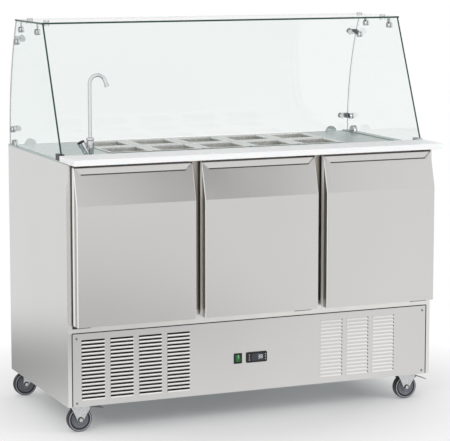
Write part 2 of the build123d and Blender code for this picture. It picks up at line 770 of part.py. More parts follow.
def door_skin(x, side):
    """Folded outer sheet of a door with its grip, open at the back."""
    solid = side_prism(door_profile(DOOR_BACK), -DOOR_W / 2, DOOR_W / 2)
    front_edges = solid.edges().filter_by(
        lambda edge: abs(abs(edge.center().X) - DOOR_W / 2) < 0.01
        and edge.center().Y < DOOR_FRONT + DOOR_LEAN
        and abs(edge.tangent_at(0.5).Z) > 0.5
    )
    solid = fillet(front_edges, DOOR_EDGE_R)
    inner = make_face(Polyline(*[(0, y, z) for y, z in door_profile(DOOR_BACK + DOOR_T)], close=True))
    inner = offset(inner, -DOOR_SHEET)
    half = DOOR_W / 2 - DOOR_SHEET
    skin = solid - (Pos(-half, 0, 0) * extrude(inner, 2 * half, dir=(1, 0, 0)))
    skin += grip(DOOR_SHEET) & solid
    skin = Pos(x, 0, 0) * (skin - grip(0))
    return skin - hinge_bores(x, side)


def door_panel(x, side):
    """Insulated inner panel, filling the skin behind the grip."""
    inner = make_face(Polyline(*[(0, y, z) for y, z in door_profile(DOOR_BACK + DOOR_T)], close=True))
    inner = offset(inner, -DOOR_SHEET)
    half = DOOR_W / 2 - DOOR_SHEET
    panel = Pos(-half, 0, 0) * extrude(inner, 2 * half, dir=(1, 0, 0))
    panel &= block(-half, half, DOOR_FRONT - 1, DOOR_BACK, DOOR_Z0, DOOR_Z1)
    corner_fill = side_prism(door_profile(DOOR_BACK), -DOOR_W / 2, DOOR_W / 2)
    panel -= grip(DOOR_SHEET) & corner_fill
    return Pos(x, 0, 0) * panel - hinge_bores(x, side)


def door_gasket(x):
    """Magnetic gasket round the back of a door."""
    half = DOOR_W / 2 - GASKET_IN_X
    z0 = DOOR_Z0 + GASKET_IN_Z
    z1 = DOOR_Z1 - GASKET_IN_Z
    y1 = DOOR_BACK + GASKET_T
    ring = block(x - half, x + half, DOOR_BACK, y1, z0, z1)
    inner = half - GASKET_W
    return ring - block(
        x - inner, x + inner, DOOR_BACK - 1, y1 + 1, z0 + GASKET_W, z1 - GASKET_W
    )


def hinge_brackets():
    """Plate, leaf and pin above and below each door."""
    brackets = []
    for x, side in zip(DOOR_XS, DOOR_HINGE_SIDES):
        hinge_x, hinge_y = hinge_place(x, side)
        plate_x0, plate_x1 = sorted(
            (hinge_x - side * (HINGE_PLATE_W - HINGE_IN), hinge_x + side * HINGE_IN)
        )
        leaf_x0 = hinge_x - HINGE_LEAF_W / 2
        leaf_x1 = hinge_x + HINGE_LEAF_W / 2
        leaf_y0 = hinge_y - HINGE_LEAF_OUT
        for end, up in ((DOOR_Z0, -1), (DOOR_Z1, 1)):
            near = end + up * HINGE_GAP
            leaf_z0, leaf_z1 = sorted((near, near + up * HINGE_LEAF_T))
            far = end - HINGE_PLATE_H if up < 0 else UNDER_TOP
            plate_z0, plate_z1 = sorted((near, far))
            bracket = block(
                plate_x0, plate_x1, FRONT - HINGE_LEAF_T, FRONT, plate_z0, plate_z1
            )
            bracket += block(leaf_x0, leaf_x1, leaf_y0, FRONT, leaf_z0, leaf_z1)
            pin_z = near - up * (HINGE_PIN_L - HINGE_LEAF_T) / 2
            bracket += rod(hinge_x, hinge_y, pin_z, HINGE_PIN_R, HINGE_PIN_L + HINGE_LEAF_T, "Z")
            brackets.append(bracket)
    return brackets


def bend_point(angle, inset):
    """A point (y, z) on the bent glass, inset from its outer face."""
    radius = BEND_R - inset
    centre_y = GLASS_BACK_Y - BEND_R
    return centre_y + radius * cos(angle), GLASS_BEND_Z + radius * sin(angle)


def bend_angle_at(height):
    """How far round the bend the glass is, at a height above the worktop."""
    return asin((height - GLASS_STRAIGHT_H) / BEND_R)


def bend_edges(x, inset):
    """The bent back line of the glass in the plane at x, from its foot up to its top."""
    half = BEND_ANGLE / 2
    foot = (x, GLASS_BACK_Y - inset, STRIP_Z)
    start = (x, *bend_point(0, inset))
    middle = (x, *bend_point(half, inset))
    end = (x, *bend_point(BEND_ANGLE, inset))
    return Line(foot, start), ThreePointArc(start, middle, end)


def back_glass():
    """Bent pane between the side glasses, drilled for its four connectors."""
    half = GLASS_SIDE_X - GLASS_T / 2 - GLASS_GAP
    outer_line, outer_arc = bend_edges(-half, 0)
    inner_line, inner_arc = bend_edges(-half, GLASS_T)
    outline = make_face([
        outer_line, outer_arc, Line(outer_arc @ 1, inner_arc @ 1),
        inner_arc, inner_line, Line(inner_line @ 0, outer_line @ 0),
    ])
    pane = extrude(outline, 2 * half, dir=(1, 0, 0))
    pane -= block(-half - 1, half + 1, FRONT, BACK, GLASS_Z1, GLASS_Z1 + GLASS_T)
    for place in back_connector_places():
        pane -= place * bolt_holes()[0]
    return pane


def side_glass(side):
    """Flat side pane: upright foot, sloping front edge, bent back edge."""
    x = side * GLASS_SIDE_X - GLASS_T / 2
    line, arc = bend_edges(x, 0)
    knee = (x, GLASS_FOOT_FRONT, TOP_Z + GLASS_KNEE_H)
    front_foot = (x, GLASS_FOOT_FRONT, STRIP_Z)
    front_top = (x, GLASS_TOP_FRONT_Y, GLASS_Z1)
    outline = make_face([
        line, arc, Line(arc @ 1, front_top), Line(front_top, knee),
        Line(knee, front_foot), Line(front_foot, line @ 0),
    ])
    pane = extrude(outline, GLASS_T, dir=(1, 0, 0))
    for place in top_connector_places() + back_connector_places():
        pane -= place * bolt_holes()[1]
    return pane


def top_glass():
    """Flat pane on the top edges of the others."""
    pane = block(
        -GLASS_TOP_SIDE_X, GLASS_TOP_SIDE_X, GLASS_TOP_FRONT_Y, GLASS_BACK_TOP_Y,
        GLASS_Z1, GLASS_Z1 + GLASS_T,
    )
    for place in top_connector_places():
        pane -= place * bolt_holes()[0]
    return pane


def connector():
    """Right-angle glass connector: pane A on its -Y side, pane B on its -X side."""
    pad = CONNECTOR_PAD
    reach = CONNECTOR_LEG + CONNECTOR_CAP_R
    half = CONNECTOR_W / 2
    angle = block(pad, CONNECTOR_LEG, pad, pad + CONNECTOR_T, -half, half)
    angle += block(pad, pad + CONNECTOR_T, pad, CONNECTOR_LEG, -half, half)
    angle += rod(CONNECTOR_LEG, pad + CONNECTOR_T / 2, 0, half, CONNECTOR_T, "Y")
    angle += rod(pad + CONNECTOR_T / 2, CONNECTOR_LEG, 0, half, CONNECTOR_T, "X")
    inner = pad + CONNECTOR_T + CONNECTOR_CAP_IN
    outer = -GLASS_T - pad - CONNECTOR_CAP_OUT
    for bolt in (
        rod(CONNECTOR_LEG, (inner + outer) / 2, 0, CONNECTOR_BOLT_R, inner - outer, "Y"),
        rod((inner + outer) / 2, CONNECTOR_LEG, 0, CONNECTOR_BOLT_R, inner - outer, "X"),
    ):
        angle += bolt
    cap_in = pad + CONNECTOR_T + CONNECTOR_CAP_IN / 2
    cap_out = outer + CONNECTOR_CAP_OUT / 2
    for at, thick in ((cap_in, CONNECTOR_CAP_IN), (cap_out, CONNECTOR_CAP_OUT)):
        angle += rod(CONNECTOR_LEG, at, 0, CONNECTOR_CAP_R, thick, "Y")
        angle += rod(at, CONNECTOR_LEG, 0, CONNECTOR_CAP_R, thick, "X")
    return angle


def bolt_holes():
    """The connector's hole in pane A and its hole in pane B."""
    radius = CONNECTOR_BOLT_R + BOLT_HOLE_CLEAR
    through = 2 * GLASS_T + 1
    at = -GLASS_T / 2
    return (
        rod(CONNECTOR_LEG, at, 0, radius, through, "Y"),
        rod(at, CONNECTOR_LEG, 0, radius, through, "X"),
    )


def corner_frame(x, y, z, u, v):
    """A place at a corner of two panes, with X along u (on pane A) and Y along v (on pane B)."""
    return Location(Plane(origin=(x, y, z), x_dir=u, z_dir=Vector(*u).cross(Vector(*v))))


def top_connector_places():
    """Under the top glass, against the side glasses."""
    inner = GLASS_SIDE_X - GLASS_T / 2
    return [
        corner_frame(side * inner, y, GLASS_Z1, (-side, 0, 0), (0, 0, -1))
        for side in (-1, 1) for y in TOP_CONNECTOR_YS
    ]


def back_connector_places():
    """Inside the bent glass, against the side glasses, square to the bend."""
    inner = GLASS_SIDE_X - GLASS_T / 2
    places = []
    for side in (-1, 1):
        for height in BACK_CONNECTOR_HS:
            angle = bend_angle_at(height)
            y, z = bend_point(angle, GLASS_T)
            inward = (0, -cos(angle), -sin(angle))
            places.append(corner_frame(side * inner, y, z, (-side, 0, 0), inward))
    return places


def glass_connectors():
    """The eight connectors of the canopy."""
    shape = connector()
    return [place * shape for place in top_connector_places() + back_connector_places()]


def glass_clamps():
    """Half-disc clamps at the foot of the back glass and on both faces of the side glasses."""
    clamps = []
    inner_y = GLASS_BACK_Y - GLASS_T
    for side in (-1, 1):
        x = side * CLAMP_BACK_X
        cheek = rod(x, inner_y - CLAMP_CHEEK_T / 2, TOP_Z, CLAMP_R, CLAMP_CHEEK_T, "Y")
        cheek &= block(x - CLAMP_R, x + CLAMP_R, FRONT, inner_y, TOP_Z, TOP_Z + CLAMP_R)
        cheek += block(x - CLAMP_R, x + CLAMP_R, inner_y - 1, GLASS_BACK_Y, TOP_Z, STRIP_Z)
        clamps.append(cheek)
        y = GLASS_BACK_Y - CLAMP_SIDE_IN
        upper = block(-HALF_W, HALF_W, y - CLAMP_R, y + CLAMP_R, STRIP_Z, STRIP_Z + CLAMP_R)
        inner_x = GLASS_SIDE_X - GLASS_T / 2 - CLAMP_CHEEK_T / 2
        outer_x = GLASS_SIDE_X + GLASS_T / 2 + CLAMP_OUTER_T / 2
        for at, thick in ((inner_x, CLAMP_CHEEK_T), (outer_x, CLAMP_OUTER_T)):
            clamps.append(rod(side * at, y, STRIP_Z, CLAMP_R, thick, "X") & upper)
    return clamps


def end_blocks():
    """Black blocks that close the front foot of the side glasses."""
    blocks = []
    for side in (-1, 1):
        x0, x1 = sorted((
            side * (GLASS_SIDE_X - GLASS_T / 2 - BLOCK_CHEEK_T),
            side * (GLASS_SIDE_X + GLASS_T / 2 + CLAMP_OUTER_T),
        ))
        piece = block(x0, x1, BLOCK_FRONT, BLOCK_FRONT + BLOCK_L, STRIP_Z, STRIP_Z + BLOCK_H)
        piece -= side_glass(side)
        blocks.append(max(piece.solids(), key=lambda solid: solid.volume))
    return blocks


def valve_place(along):
    """A place on the tilted valve axis, with its own Z pointing out along it."""
    return Pos(TAP_X - VALVE_IN, TAP_Y, TOP_Z + VALVE_H) * Rot(0, -VALVE_TILT, 0) * Pos(0, 0, along)


def tap_body():
    """Turned body with its flange, the threaded shank, the valve branch and its spindle."""
    points = [
        (0, 0), (TAP_FLANGE_R, 0), (TAP_FLANGE_R, TAP_FLANGE_T), (TAP_BODY_R, TAP_FLANGE_T),
        (TAP_BODY_R, TAP_BODY_H), (TAP_NECK_R, TAP_NECK_H), (0, TAP_NECK_H),
    ]
    profile = make_face(Polyline(*[(r, 0, z) for r, z in points], close=True))
    body = Pos(TAP_X, TAP_Y, TOP_Z) * revolve(profile, Axis.Z)
    body += valve_place(VALVE_L / 2) * Cylinder(VALVE_R, VALVE_L)
    body += valve_place(VALVE_L + SPINDLE_L / 2) * Cylinder(SPINDLE_R, SPINDLE_L)
    body += rod(TAP_X, TAP_Y, TOP_Z - TAP_SHANK_L / 2, TAP_SHANK_R, TAP_SHANK_L, "Z")
    socket_z = TOP_Z + TAP_NECK_H - SPOUT_SOCKET / 2
    return body - rod(TAP_X, TAP_Y, socket_z, SPOUT_R + PIN_FIT, SPOUT_SOCKET, "Z")


def tap_spout():
    """Bent tube that turns in the body's socket, with a bore at its outlet."""
    foot_z = TOP_Z + TAP_NECK_H - SPOUT_SOCKET + FIT
    bend_z = TOP_Z + SPOUT_STRAIGHT_H
    up = Line((TAP_X, TAP_Y, foot_z), (TAP_X, TAP_Y, bend_z))
    turn = radians(SPOUT_BEND)
    centre_x = TAP_X + SPOUT_BEND_R
    on_bend = [
        (centre_x - SPOUT_BEND_R * cos(a), TAP_Y, bend_z + SPOUT_BEND_R * sin(a))
        for a in (turn / 2, turn)
    ]
    bend = ThreePointArc((TAP_X, TAP_Y, bend_z), *on_bend)
    way = Vector(sin(turn), 0, cos(turn))
    outlet = Vector(*on_bend[1]) + way * SPOUT_TAIL
    tail = Line(on_bend[1], outlet)
    path = Wire([up, bend, tail])
    start = Plane(origin=(TAP_X, TAP_Y, foot_z), z_dir=(0, 0, 1))
    tube = sweep(start * Circle(SPOUT_R), path)
    bore = Location(Plane(origin=outlet, z_dir=way)) * Cylinder(SPOUT_BORE_R, SPOUT_TAIL)
    return tube - bore


def tap_knob():
    """Round knob on the valve's spindle."""
    knob = Cylinder(KNOB_R, KNOB_L)
    knob = fillet(knob.edges().group_by(Axis.Z)[-1], KNOB_R / 6)
    bore = Pos(0, 0, (SPINDLE_L + FIT - KNOB_L) / 2) * Cylinder(SPINDLE_R + PIN_FIT, SPINDLE_L + FIT)
    return valve_place(VALVE_L + FIT + KNOB_L / 2) * (knob - bore)


def caster_mounts():
    """Top plate, bearing race and kingpin of each caster."""
    mounts = []
    for x, y, _ in CASTERS.values():
        plate = Pos(x, y, TRAY_Z - PLATE_T / 2) * Box(PLATE_SIZE, PLATE_SIZE, PLATE_T)
        race_z0 = CROWN_Z1 + KINGPIN_FIT
        race_z1 = TRAY_Z - PLATE_T
        plate += rod(x, y, (race_z0 + race_z1) / 2, RACE_R, race_z1 - race_z0, "Z")
        head_z = CROWN_Z0 + KINGPIN_FIT
        plate += rod(x, y, (head_z + race_z1) / 2, KINGPIN_R, race_z1 - head_z, "Z")
        plate += rod(x, y, head_z + KINGPIN_HEAD_T / 2, KINGPIN_HEAD_R, KINGPIN_HEAD_T, "Z")
        mounts.append(plate)
    return mounts


def fork_leg(braked):
    """Outline of a fork leg, from the crown to the boss round the axle, as (x, z) points."""
    right = WHEEL_TRAIL + EAR_X if braked else FORK_TOP_W / 2
    points = [(-FORK_TOP_W / 2, CROWN_Z1), (right, CROWN_Z1)]
    if braked:
        points.append((right, CROWN_Z1 - EAR_DROP))
    return points + [(WHEEL_TRAIL + FORK_BOSS_R, WHEEL_R), (WHEEL_TRAIL - FORK_BOSS_R, WHEEL_R)]


def caster_fork(name):
    """Crown, two legs and the axle bolt, and on a braked caster the pedal's pin."""
    x, y, way = CASTERS[name]
    braked = name.startswith("front")
    half = FORK_TOP_W / 2
    fork = block(-half, half, -FORK_OUT, FORK_OUT, CROWN_Z0, CROWN_Z1)
    for side in (-1, 1):
        y0, y1 = sorted((side * FORK_IN, side * FORK_OUT))
        fork += front_prism(fork_leg(braked), y0, y1)
        fork += rod(WHEEL_TRAIL, (y0 + y1) / 2, WHEEL_R, FORK_BOSS_R, FORK_T, "Y")
        head_y = side * (FORK_OUT + AXLE_HEAD_T / 2)
        hexagon = extrude(RegularPolygon(AXLE_HEAD_R, 6), AXLE_HEAD_T / 2, both=True)
        fork += Pos(WHEEL_TRAIL, head_y, WHEEL_R) * Rot(90, 0, 0) * hexagon
    fork += rod(WHEEL_TRAIL, 0, WHEEL_R, AXLE_R, 2 * FORK_OUT, "Y")
    if braked:
        pin_x = WHEEL_TRAIL + PEDAL_PIVOT_X
        fork += rod(pin_x, 0, WHEEL_R + PEDAL_PIVOT_UP, PEDAL_PIN_R, 2 * FORK_OUT, "Y")
    head_room = KINGPIN_HEAD_T + 2 * KINGPIN_FIT
    fork -= rod(0, 0, CROWN_Z0 + head_room / 2, KINGPIN_HEAD_R + KINGPIN_FIT, head_room, "Z")
    fork -= rod(0, 0, CROWN_Z1, KINGPIN_R + PIN_FIT, 4 * CROWN_T, "Z")
    turn = Rot(0, 0, 180) if way < 0 else Rot(0, 0, 0)
    return Pos(x, y, 0) * turn * fork


def caster_wheel(name):
    """Wheel with its tyre, dished on both faces and bored for the axle."""
    x, y, way = CASTERS[name]
    wheel = fillet(Cylinder(WHEEL_R, WHEEL_W).edges(), WHEEL_EDGE_R)
    for side in (-1, 1):
        dish = Cylinder(WHEEL_FACE_R, 2 * WHEEL_FACE_IN) - Cylinder(WHEEL_HUB_R, 3 * WHEEL_FACE_IN)
        wheel -= Pos(0, 0, side * WHEEL_W / 2) * dish
    wheel -= Cylinder(AXLE_R + PIN_FIT, 2 * WHEEL_W)
    return Pos(x + way * WHEEL_TRAIL, y, WHEEL_R) * Rot(90, 0, 0) * wheel


def brake_pedal(name, raised):
    """Foot pedal with its shoe over the tyre, turned up by the given angle."""
    x, y, _ = CASTERS[name]
    half = FORK_IN - FIT
    top = [(PEDAL_START_X, PEDAL_START_UP), (PEDAL_REACH, PEDAL_START_UP - PEDAL_DROP)]
    under = [(px, pz - PEDAL_T) for px, pz in reversed(top)]
    pedal = front_prism(top + under, -half, half)
    pedal += rod(PEDAL_PIVOT_X, 0, PEDAL_PIVOT_UP, PEDAL_LUG_R, 2 * half, "Y")
    near = WHEEL_R + PEDAL_SHOE_GAP
    angle = radians(PEDAL_SHOE_ANGLE)
    face = [(near * cos(angle) + along * sin(angle), near * sin(angle) - along * cos(angle))
            for along in (-PEDAL_SHOE_L / 2, PEDAL_SHOE_L / 2)]
    slope = PEDAL_DROP / (PEDAL_REACH - PEDAL_START_X)
    root = [(at, PEDAL_START_UP - PEDAL_T / 2 - slope * (at - PEDAL_START_X))
            for at in (PEDAL_SHOE_X1, PEDAL_SHOE_X0)]
    pedal += front_prism(face + root, -WHEEL_W / 2, WHEEL_W / 2)
    pedal -= rod(PEDAL_PIVOT_X, 0, PEDAL_PIVOT_UP, PEDAL_PIN_R + PIN_FIT, 3 * half, "Y")
    about = Pos(PEDAL_PIVOT_X, 0, PEDAL_PIVOT_UP)
    pedal = about * Rot(0, -raised, 0) * about.inverse() * pedal
    return Pos(x + WHEEL_TRAIL, y, WHEEL_R) * pedal


def base_tray():
    """Floor of the machine compartment, folded up at its edges."""
    front = FRONT + SHEET + SCREW_L
    tray = block(-INNER_X, INNER_X, front, BACK - SHEET, TRAY_Z, TRAY_Z + TRAY_RIM_H)
    return tray - block(
        -INNER_X + TRAY_T, INNER_X - TRAY_T, front + TRAY_T, BACK - SHEET - TRAY_T,
        FLOOR_Z, TRAY_Z + 2 * TRAY_RIM_H,
    )


def compressor():
    """Hermetic compressor: a domed can on a foot plate."""
    foot = Pos(COMPRESSOR_X, COMPRESSOR_Y, FLOOR_Z + TRAY_T / 2) * Box(
        COMPRESSOR_FOOT, COMPRESSOR_FOOT, TRAY_T
    )
    can = Cylinder(COMPRESSOR_R, COMPRESSOR_H)
    can = fillet(can.edges().group_by(Axis.Z)[-1], COMPRESSOR_DOME_R)
    return foot + Pos(COMPRESSOR_X, COMPRESSOR_Y, FLOOR_Z + TRAY_T + COMPRESSOR_H / 2) * can


def condenser():
    """Fin pack in a frame, standing on the tray behind the louvres."""
    half = CONDENSER_W / 2
    pack = block(
        CONDENSER_X - half, CONDENSER_X + half, CONDENSER_Y0, CONDENSER_Y1,
        FLOOR_Z, FLOOR_Z + CONDENSER_H + 2 * CONDENSER_FRAME,
    )
    span = CONDENSER_W - 2 * CONDENSER_FRAME
    pitch = span / CONDENSER_SLOTS
    slots = []
    for i in range(CONDENSER_SLOTS):
        x = CONDENSER_X - span / 2 + (i + 0.5) * pitch
        slots.append(
            block(
                x - CONDENSER_SLOT_W / 2, x + CONDENSER_SLOT_W / 2, CONDENSER_Y0 - 1,
                CONDENSER_Y1 + 1, FLOOR_Z + CONDENSER_FRAME,
                FLOOR_Z + CONDENSER_FRAME + CONDENSER_H,
            )
        )
    return pack - slots


def fan_shroud():
    """Square shroud behind the condenser with the motor held by four struts."""
    half = SHROUD_W / 2
    y1 = CONDENSER_Y1 + SHROUD_D
    shroud = block(FAN_X - half, FAN_X + half, CONDENSER_Y1, y1, FAN_Z - half, FAN_Z + half)
    shroud -= rod(FAN_X, FAN_Y, FAN_Z, FAN_R + FAN_TIP_CLEAR, 2 * SHROUD_D, "Y")
    motor_y = y1 + MOTOR_L / 2
    for turn in (45, 135):
        strut = Box(2 * (FAN_R + FAN_TIP_CLEAR) + STRUT_W, SHROUD_T, STRUT_W)
        shroud += Pos(FAN_X, y1 + SHROUD_T / 2, FAN_Z) * Rot(0, turn, 0) * strut
    shroud += rod(FAN_X, motor_y, FAN_Z, MOTOR_R, MOTOR_L, "Y")
    shaft_l = SHROUD_D
    return shroud + rod(FAN_X, y1 - shaft_l / 2, FAN_Z, FAN_SHAFT_R, shaft_l, "Y")


def condenser_fan():
    """Five pitched blades on a hub that is bored for the motor's shaft."""
    fan = rod(0, 0, 0, FAN_HUB_R, FAN_HUB_L, "Y")
    blade_w = FAN_HUB_R * 1.6
    blade_l = FAN_R - FAN_HUB_R / 2
    for i in range(FAN_BLADES):
        blade = Pos(FAN_HUB_R / 2 + blade_l / 2, 0, 0) * Rot(FAN_PITCH_ANGLE, 0, 0) * Box(
            blade_l, FAN_BLADE_T, blade_w
        )
        fan += Rot(0, i * 360 / FAN_BLADES, 0) * blade
    fan &= rod(0, 0, 0, FAN_R, 2 * FAN_HUB_L, "Y")
    fan -= rod(0, 0, 0, FAN_SHAFT_R + PIN_FIT, 2 * FAN_HUB_L, "Y")
    return Pos(FAN_X, FAN_Y, FAN_Z) * fan


def cable_gland():
    """Gland in the back sheet: hexagon outside, thread and nut inside, bored for the cord."""
    z = BASE_Z + GLAND_H
    thread_l = SHEET + GLAND_IN
    gland = rod(GLAND_X, BACK - thread_l / 2, z, GLAND_THREAD_R, thread_l, "Y")
    hexagon = Rot(90, 0, 0) * extrude(RegularPolygon(GLAND_R, 6), GLAND_OUT / 2, both=True)
    gland += Pos(GLAND_X, BACK + GLAND_OUT / 2, z) * hexagon
    nut = Rot(90, 0, 0) * extrude(RegularPolygon(GLAND_R, 6), GLAND_IN / 4, both=True)
    gland += Pos(GLAND_X, BACK - SHEET - GLAND_IN / 4, z) * nut
    return gland - rod(GLAND_X, BACK, z, GLAND_BORE_R, 4 * (GLAND_IN + GLAND_OUT), "Y")


def save_cabinet():
    """Write the fixed pieces."""
    save("outer_casing", outer_casing())
    save("base_tray", base_tray())
    save("insulation", insulation())
    save("inner_liner", inner_liner())
    save("door_frame", door_frame())
    save("worktop", worktop())
    save("pan_divider_bars", *pan_divider_bars())
    save("base_panel", base_panel())
    save("panel_screws", *panel_screws())
    save("compressor", compressor())
    save("condenser", condenser())
    save("fan_shroud", fan_shroud())
    save("evaporator", evaporator())
    save("wire_shelves", *shelves())
    save("controller", controller())
    save("switch_frame", switch_frame())
    save("hinge_brackets", *hinge_brackets())
    save("back_glass", back_glass())
    save("side_glasses", side_glass(-1), side_glass(1))
    save("top_glass", top_glass())
    save("glass_connectors", *glass_connectors())
    save("glass_clamps", *glass_clamps())
    save("end_blocks", *end_blocks())
    save("tap_body", tap_body())
    save("caster_mounts", *caster_mounts())
    save("cable_gland", cable_gland())


def save_moving():
    """Write the pieces that move."""
    for i, (x, side) in enumerate(zip(DOOR_XS, DOOR_HINGE_SIDES), start=1):
        save(f"door_{i}_skin", door_skin(x, side))
        save(f"door_{i}_panel", door_panel(x, side))
        save(f"door_{i}_gasket", door_gasket(x))
    shape = pan()
    number = 0
    for y in PAN_YS:
        for x in PAN_XS:
            number += 1
            save(f"pan_{number}", Pos(x, y, TOP_Z + FIT) * shape)
    save("cutting_board", cutting_board())
    save("tap_spout", tap_spout())
    save("tap_knob", tap_knob())
    save("power_rocker", power_rocker())
    save("condenser_fan", condenser_fan())
    for name in CASTERS:
        save(f"caster_fork_{name}", caster_fork(name))
        save(f"caster_wheel_{name}", caster_wheel(name))
    save("brake_pedal_left", brake_pedal("front_left", PEDAL_RAISE))
    save("brake_pedal_right", brake_pedal("front_right", 0))


save_cabinet()
save_moving()
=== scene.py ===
import math

import bmesh
import bpy
import numpy as np
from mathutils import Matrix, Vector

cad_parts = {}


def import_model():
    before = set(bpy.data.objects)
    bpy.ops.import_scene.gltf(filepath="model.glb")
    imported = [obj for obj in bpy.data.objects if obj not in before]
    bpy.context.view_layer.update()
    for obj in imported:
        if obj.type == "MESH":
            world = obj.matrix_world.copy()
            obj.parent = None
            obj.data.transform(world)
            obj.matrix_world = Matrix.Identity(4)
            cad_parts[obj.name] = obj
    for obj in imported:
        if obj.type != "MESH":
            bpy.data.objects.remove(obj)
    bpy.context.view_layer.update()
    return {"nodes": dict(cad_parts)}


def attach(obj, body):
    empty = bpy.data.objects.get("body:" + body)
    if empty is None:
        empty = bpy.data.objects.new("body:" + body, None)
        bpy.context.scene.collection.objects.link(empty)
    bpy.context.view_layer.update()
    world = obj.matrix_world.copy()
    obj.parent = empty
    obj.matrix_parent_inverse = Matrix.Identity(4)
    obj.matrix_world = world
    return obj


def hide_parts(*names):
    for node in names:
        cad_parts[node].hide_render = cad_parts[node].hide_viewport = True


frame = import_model()
nodes = frame["nodes"]

# Photograph's frame and the camera solved from the body's corners
PHOTO_W = 450
SENSOR_MM = 36
FOCAL_PX = 1961.2
CAMERA_PLACE = (-2.6919, -6.3825, 1.6641)
CAMERA_DOWN = 7.689
CAMERA_RIGHT = 22.928
CAMERA_SHIFT_UP_PX = 22.5

# Millimetres and radians, as the solids have them
FRONT = -291
BACK = 362
DOOR_FRONT = -348.3
DOOR_BEND_Z = 776
DOOR_LEAN = 33 / 126
TOP_Z = 913
CONTROL_Z = 210
CONTROLLER_X = 3
BEZEL_OUT = 3
SWITCH_X = -67
ROCKER_TILT = math.radians(8)
ROCKER_PIVOT_Y = -289
LOUVRE_X = -593.8
LOUVRE_PITCH_X = 102.3
LOUVRE_PITCH_Z = 13
LOUVRE_MOUTH_Z = 122.25
LOUVRE_MOUTH_W = 82.2
LOUVRE_MOUTH_H = 5.4
SCREW_X = 652
SCREW_ZS = (105.5, 325)
SCREW_R = 4.5
BACK_SCREW_ZS = (120, 380, 640, 880)
BASE_PANEL_ZS = (94, 343.4)
# Black strips along the base panel's edges, painted shadow of the gaps there
SHADOW_STRIP_X = 667.2
SHADOW_STRIP_W = 3.6
FILTER_IN = 5.5
FILTER_T = 1.6
FILTER_H = 216
FILTER_MIDDLE_Z = 216
FILTER_SWAY = 0.8
FILTER_PITCH = 12
PAN_W = 162
PAN_L = 176
PAN_DEPTH = 150
PAN_CORNER_R = 14
PAN_XS = (-356, -172, 12, 196, 380)
PAN_YS = (46.5, 244.5)
WHEEL_R = 42.5
WHEEL_HALF_W = 14
WHEEL_TRAIL = 13
FORK_OUT = 19.1
# Each swivel axis in X and Y, and the way along X that its wheel trails
CASTERS = {
    "front_left": (-645, -249.5, 1),
    "front_right": (592, -249.5, 1),
    "rear_left": (-631, 325.5, -1),
    "rear_right": (592, 325.5, 1),
}
TAP_X = -537
TAP_Y = -114.5
VALVE_IN = 11
VALVE_H = 8
VALVE_TILT = math.radians(28)
SPOUT_STRAIGHT_H = 248
SPOUT_BEND = math.radians(160)
SPOUT_BEND_R = 28
SPOUT_TAIL = 22

# Where a colour or a filter begins and ends, in millimetres
DOOR_TOP_FOLD_Z = 898
DOOR_GRIP_ZS = (866, 880)
DOOR_FLANK_YS = (-345, -321)
DOOR_FOLD_W = 3.3
FRAME_STILE_X = 640
FRAME_RAIL_Z = 392
BLOCK_PALE_Z = 931
LEFT_LOUVRE_XS = (-640, -240)
RIGHT_LOUVRE_XS = (242, 540)
LOUVRE_ZS = (116, 323)


# ---- Node helpers ----

def linear(colour):
    """An sRGB hex colour as linear red, green, blue and alpha."""
    parts = [int(colour[i:i + 2], 16) / 255 for i in (1, 3, 5)]
    return [c / 12.92 if c <= 0.04045 else ((c + 0.055) / 1.055) ** 2.4 for c in parts] + [1.0]


def add(tree, kind, inputs=None, **settings):
    """One node: settings go on the node, inputs are values or other nodes' outputs."""
    made = tree.nodes.new(kind)
    for name, value in settings.items():
        setattr(made, name, value)
    for name, value in (inputs or {}).items():
        if isinstance(value, bpy.types.NodeSocket):
            tree.links.new(value, made.inputs[name])
        elif isinstance(value, str):
            made.inputs[name].default_value = linear(value)
        else:
            made.inputs[name].default_value = value
    return made


def begin(name, base, roughness, metallic=0.0, **sockets):
    """A material with its shader set: returns it, its node tree, shader and Object coordinates."""
    made = bpy.data.materials.new(name)
    made.use_nodes = True
    tree = made.node_tree
    shader = tree.nodes["Principled BSDF"]
    shader.inputs["Base Color"].default_value = linear(base)
    shader.inputs["Roughness"].default_value = roughness
    shader.inputs["Metallic"].default_value = metallic
    for socket, value in sockets.items():
        shader.inputs[socket.replace("_", " ")].default_value = value
    place = add(tree, "ShaderNodeTexCoord").outputs["Object"]
    return made, tree, shader, place


def noise(tree, place, period_mm, stretch=(1, 1, 1), detail=2.0):
    """Noise whose blotches are about period_mm across, drawn out by stretch along each axis."""
    scale = tuple(1000 / (period_mm * s) for s in stretch)
    mapped = add(tree, "ShaderNodeMapping", {"Vector": place, "Scale": scale})
    return add(tree, "ShaderNodeTexNoise", {
        "Vector": mapped.outputs["Vector"], "Scale": 1.0, "Detail": detail}).outputs["Fac"]


def cells(tree, place, period_mm, output="Distance"):
    """Voronoi cells about period_mm across."""
    return add(tree, "ShaderNodeTexVoronoi", {
        "Vector": place, "Scale": 1000 / period_mm}).outputs[output]


def vary(tree, value, low, high, darkest=0.3, lightest=0.7):
    """Maps a pattern from darkest..lightest to low..high."""
    return add(tree, "ShaderNodeMapRange", {
        "Value": value, "From Min": darkest, "From Max": lightest,
        "To Min": low, "To Max": high}).outputs["Result"]


def blend(tree, pattern, low, high):
    """A colour between two hex colours or colour outputs, by a pattern from 0 to 1."""
    return add(tree, "ShaderNodeMix", {0: pattern, 6: low, 7: high}, data_type="RGBA").outputs[2]


def coordinate(tree, kind, axis):
    """One of X, Y and Z of the place ("Object", in metres) or of the normal ("Normal")."""
    whole = add(tree, "ShaderNodeTexCoord").outputs[kind]
    return add(tree, "ShaderNodeSeparateXYZ", {0: whole}).outputs["XYZ".index(axis)]


def maths(tree, operation, *values):
    """One step of arithmetic on numbers and patterns."""
    return add(tree, "ShaderNodeMath", dict(enumerate(values)), operation=operation).outputs[0]


